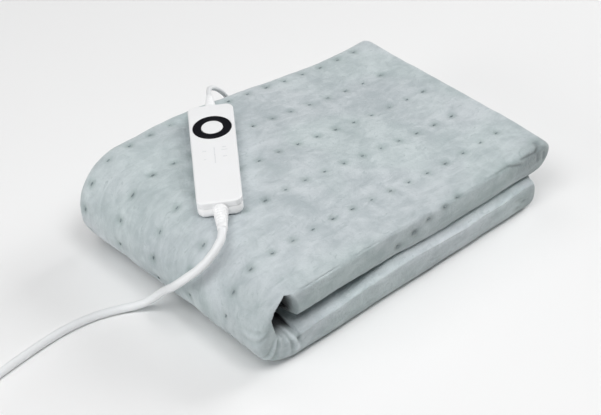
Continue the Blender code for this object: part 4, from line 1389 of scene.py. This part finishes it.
class HEATEDPAD_OT_leads(bpy.types.Operator):
    """Lay both leads, with their reliefs, the tied coil, the plug and the pad's connector"""

    bl_idname = "heatedpad.leads"
    bl_label = "Leads and plug"

    def execute(self, context):
        sizes = context.scene.lead_sizes
        corner = Matrix.Translation(FRONT_CORNER)
        self.mains(sizes, corner)
        self.thin(sizes, corner)
        return {"FINISHED"}

    def relief(self, node, start, way, place):
        shell = relief_shell(*RELIEFS[node])
        return built(node + "_ribbed", shell, place @ pointing(start, way), "shell", [node])

    def leaving(self, node, side, corner):
        """Set a relief on one end of the control; the lead's first places come out of it."""
        tip = GAP + RELIEFS[node][0]
        start, end = control_end(side, GAP), control_end(side, tip)
        self.relief(node, start, end - start, corner)
        return [control_end(side, tip + GAP + off) for off in STRAIGHT_OUT]

    def mains(self, sizes, corner):
        start = self.leaving("mains_relief", -1, corner)
        mouth = PLUG_BODY[0] / 2 + GAP + RELIEFS["plug_relief"][0] + GAP
        ends = [plug_frame() @ Vector((-mouth - off, 0.0, 0.0)) for off in STRAIGHT_IN]
        run = through((*start, *MAINS_ROUTE), MAINS_STEP)
        tail = through((*TAIL_ROUTE, *ends), MAINS_STEP)
        points = [*run, *coil_points(sizes), *tail]
        cable = lead("mains_cable", points, sizes.mains, ["mains_lead", "mains_coil", "mains_tail"])
        strap = self.tie(sizes, corner)
        on_it = [strap, *self.plug(corner)]

    def tie(self, sizes, corner):
        """A flat closed strap round the coil's bundle."""
        shell = bmesh.new()
        loops = []
        for off in (0.0, STRAP_THICK):
            half, soft = STRAP_HALF[0] + off, STRAP_CORNER + off
            high, low = STRAP_HIGH + off, STRAP_LOW - off
            loop = []
            for r, z, start in ((half, high, 0.0), (-half, high, 90.0), (-half, low, 180.0),
                                (half, low, 270.0)):
                middle_r, middle_z = r - math.copysign(soft, r), z - soft if z == high else z + soft
                for step in range(6):
                    angle = math.radians(start + 90.0 * step / 5)
                    loop.append((middle_r + soft * math.cos(angle), middle_z + soft * math.sin(angle)))
            for side in (-STRAP_HALF[1], STRAP_HALF[1]):
                loops.append([shell.verts.new((sizes.coil_radius + r, side, z)) for r, z in loop])
        inner_left, inner_right, outer_left, outer_right = loops
        bridge(shell, (outer_left, outer_right, inner_right, inner_left), closed=True)
        place = corner @ Matrix.Translation((*COIL_PLACE, 0.0)) @ Matrix.Rotation(STRAP_YAW, 4, "Z")
        return built("coil_strap", shell, place, "shell", ["coil_tie"])

    def plug(self, corner):
        """Plain flat two-pin plug with its relief."""
        place = corner @ plug_frame()
        length, width, thick = PLUG_BODY
        body = block(length, width, thick, PLUG_CORNER, PLUG_EDGE)
        pieces = [built("plug_shell", body, place, "shell", ["plug_body"])]
        for side, node in ((-1, "plug_pin_left"), (1, "plug_pin_right")):
            axis = pointing((length / 2 + GAP, side * PIN_SPACING / 2, 0.0), (1.0, 0.0, 0.0))
            pin = turned(PIN_PROFILE, 32)
            pieces.append(built(node + "_plated", pin, place @ axis, "pins", [node]))
        back = -length / 2 - GAP
        return [*pieces, self.relief("plug_relief", (back, 0.0, 0.0), (-1.0, 0.0, 0.0), place)]

    def thin(self, sizes, corner):
        start = self.leaving("pad_relief", 1, corner)
        left, right, depth, low, high = CONNECTOR
        middle = Vector(((left + right) / 2, PAD_SHORT + GAP + depth / 2, (low + high) / 2))
        place = corner @ Matrix.Translation(middle)
        shell = block(right - left, depth, high - low, CONNECTOR_CORNER, CONNECTOR_EDGE)
        socket = built("pad_connector_shell", shell, place, "shell", ["pad_connector"])
        mouth = (right - left) / 2 + GAP
        arrival = self.relief("connector_relief", (mouth, 0.0, 0.0), (1.0, 0.0, 0.0), place)
        reach = mouth + RELIEFS["connector_relief"][0] + GAP
        ends = [middle + Vector((reach + off, 0.0, 0.0)) for off in STRAIGHT_IN]
        points = through((*start, *PAD_LEAD_ROUTE, *ends), PAD_LEAD_STEP)
        cable = lead("pad_cable", points, sizes.thin, ["pad_lead"], 8)


# ------------------------------------------------------------------ stage
FLOOR_HALF = 6.0
FLOOR_DROP = 0.0002
LOOK_AT = (0.155, 0.116, 0.030)
LIGHTS_AT = Vector((0.0, 0.0, 0.03))
ROOM_LIGHT = 0.06


class HEATEDPAD_OT_stage(bpy.types.Operator):
    """Set the floor, the lights and the camera"""

    bl_idname = "heatedpad.stage"
    bl_label = "Plain stage"

    def execute(self, context):
        settings = context.scene.stage_settings
        shell = bmesh.new()
        bmesh.ops.create_grid(shell, x_segments=2, y_segments=2, size=FLOOR_HALF)
        mesh = finish_mesh(shell, "floor")
        mesh.materials.append(finish_of("floor"))
        floor = bpy.data.objects.new("floor", mesh)
        floor.location.z = -FLOOR_DROP
        context.scene.collection.objects.link(floor)
        self.camera(context, settings)
        self.lights(context)
        return {"FINISHED"}

    def camera(self, context, settings):
        target = from_corner(LOOK_AT)
        turn, lift = math.radians(settings.azimuth), math.radians(settings.elevation)
        back = Vector((math.sin(turn) * math.cos(lift), -math.cos(turn) * math.cos(lift), math.sin(lift)))
        lens = bpy.data.cameras.new("camera")
        lens.lens = settings.lens
        lens.clip_end = 50.0
        camera = bpy.data.objects.new("camera", lens)
        camera.location = target + back * settings.distance
        camera.rotation_mode = "QUATERNION"
        camera.rotation_quaternion = (-back).to_track_quat("-Z", "Y")
        context.scene.collection.objects.link(camera)
        context.scene.camera = camera

    def lights(self, context):
        columns = ("name", "place", "size", "power")
        rows = (
            ("front", (-0.30, -1.10, 2.40), 0.9, 20.0),
            ("left_high", (-1.40, -0.40, 2.20), 1.2, 25.0),
            ("left", (-2.80, 0.60, 0.90), 1.6, 24.0),
            ("right", (2.40, -0.30, 1.60), 1.6, 45.0),
            ("behind", (0.20, 1.30, 2.20), 1.2, 6.0),
        )
        for row in rows:
            light = dict(zip(columns, row))
            data = bpy.data.lights.new(light["name"], "AREA")
            data.shape = "SQUARE"
            data.size = light["size"]
            data.energy = light["power"]
            lamp = bpy.data.objects.new(light["name"], data)
            lamp.location = light["place"]
            lamp.rotation_mode = "QUATERNION"
            lamp.rotation_quaternion = (LIGHTS_AT - lamp.location).to_track_quat("-Z", "Y")
            context.scene.collection.objects.link(lamp)
        world = bpy.data.worlds.new("soft_room")
        world.use_nodes = True
        background = world.node_tree.nodes["Background"].inputs
        background["Color"].default_value = (1.0, 1.0, 1.0, 1.0)
        background["Strength"].default_value = ROOM_LIGHT
        context.scene.world = world
        context.scene.view_settings.view_transform = "Standard"


class HEATEDPAD_PT_panel(bpy.types.Panel):
    """Lists the pad's sizes, colours and makers"""

    bl_label = "Heated pad"
    bl_idname = "HEATEDPAD_PT_panel"
    bl_space_type = "VIEW_3D"
    bl_region_type = "UI"
    bl_category = "Heated pad"

    def draw(self, context):
        for group in (context.scene.pad_sizes, context.scene.pad_colours, context.scene.control_sizes,
                      context.scene.lead_sizes, context.scene.stage_settings):
            box = self.layout.box()
            for name in group.__annotations__:
                box.prop(group, name)
        for operator in OPERATORS:
            self.layout.operator(operator.bl_idname)


GROUPS = (
    ("pad_sizes", PadSizes),
    ("pad_colours", PadColours),
    ("control_sizes", ControlSizes),
    ("lead_sizes", LeadSizes),
    ("stage_settings", StageSettings),
)
OPERATORS = (HEATEDPAD_OT_stage, HEATEDPAD_OT_leads, HEATEDPAD_OT_control, HEATEDPAD_OT_pad,
             HEATEDPAD_OT_tacks)


def register():
    for name, group in GROUPS:
        bpy.utils.register_class(group)
        setattr(bpy.types.Scene, name, PointerProperty(type=group))
    for cls in (*OPERATORS, HEATEDPAD_PT_panel):
        bpy.utils.register_class(cls)


def unregister():
    for cls in (HEATEDPAD_PT_panel, *reversed(OPERATORS)):
        bpy.utils.unregister_class(cls)
    for name, group in reversed(GROUPS):
        delattr(bpy.types.Scene, name)
        bpy.utils.unregister_class(group)


def main():
    register()
    for item in list(bpy.data.objects):
        if item.name in ("Cube", "Light", "Camera"):
            bpy.data.objects.remove(item)
    bpy.ops.heatedpad.stage()
    bpy.ops.heatedpad.leads()
    bpy.ops.heatedpad.control()
    bpy.ops.heatedpad.pad()
    bpy.ops.heatedpad.tacks()


if __name__ == "__main__":
    main()
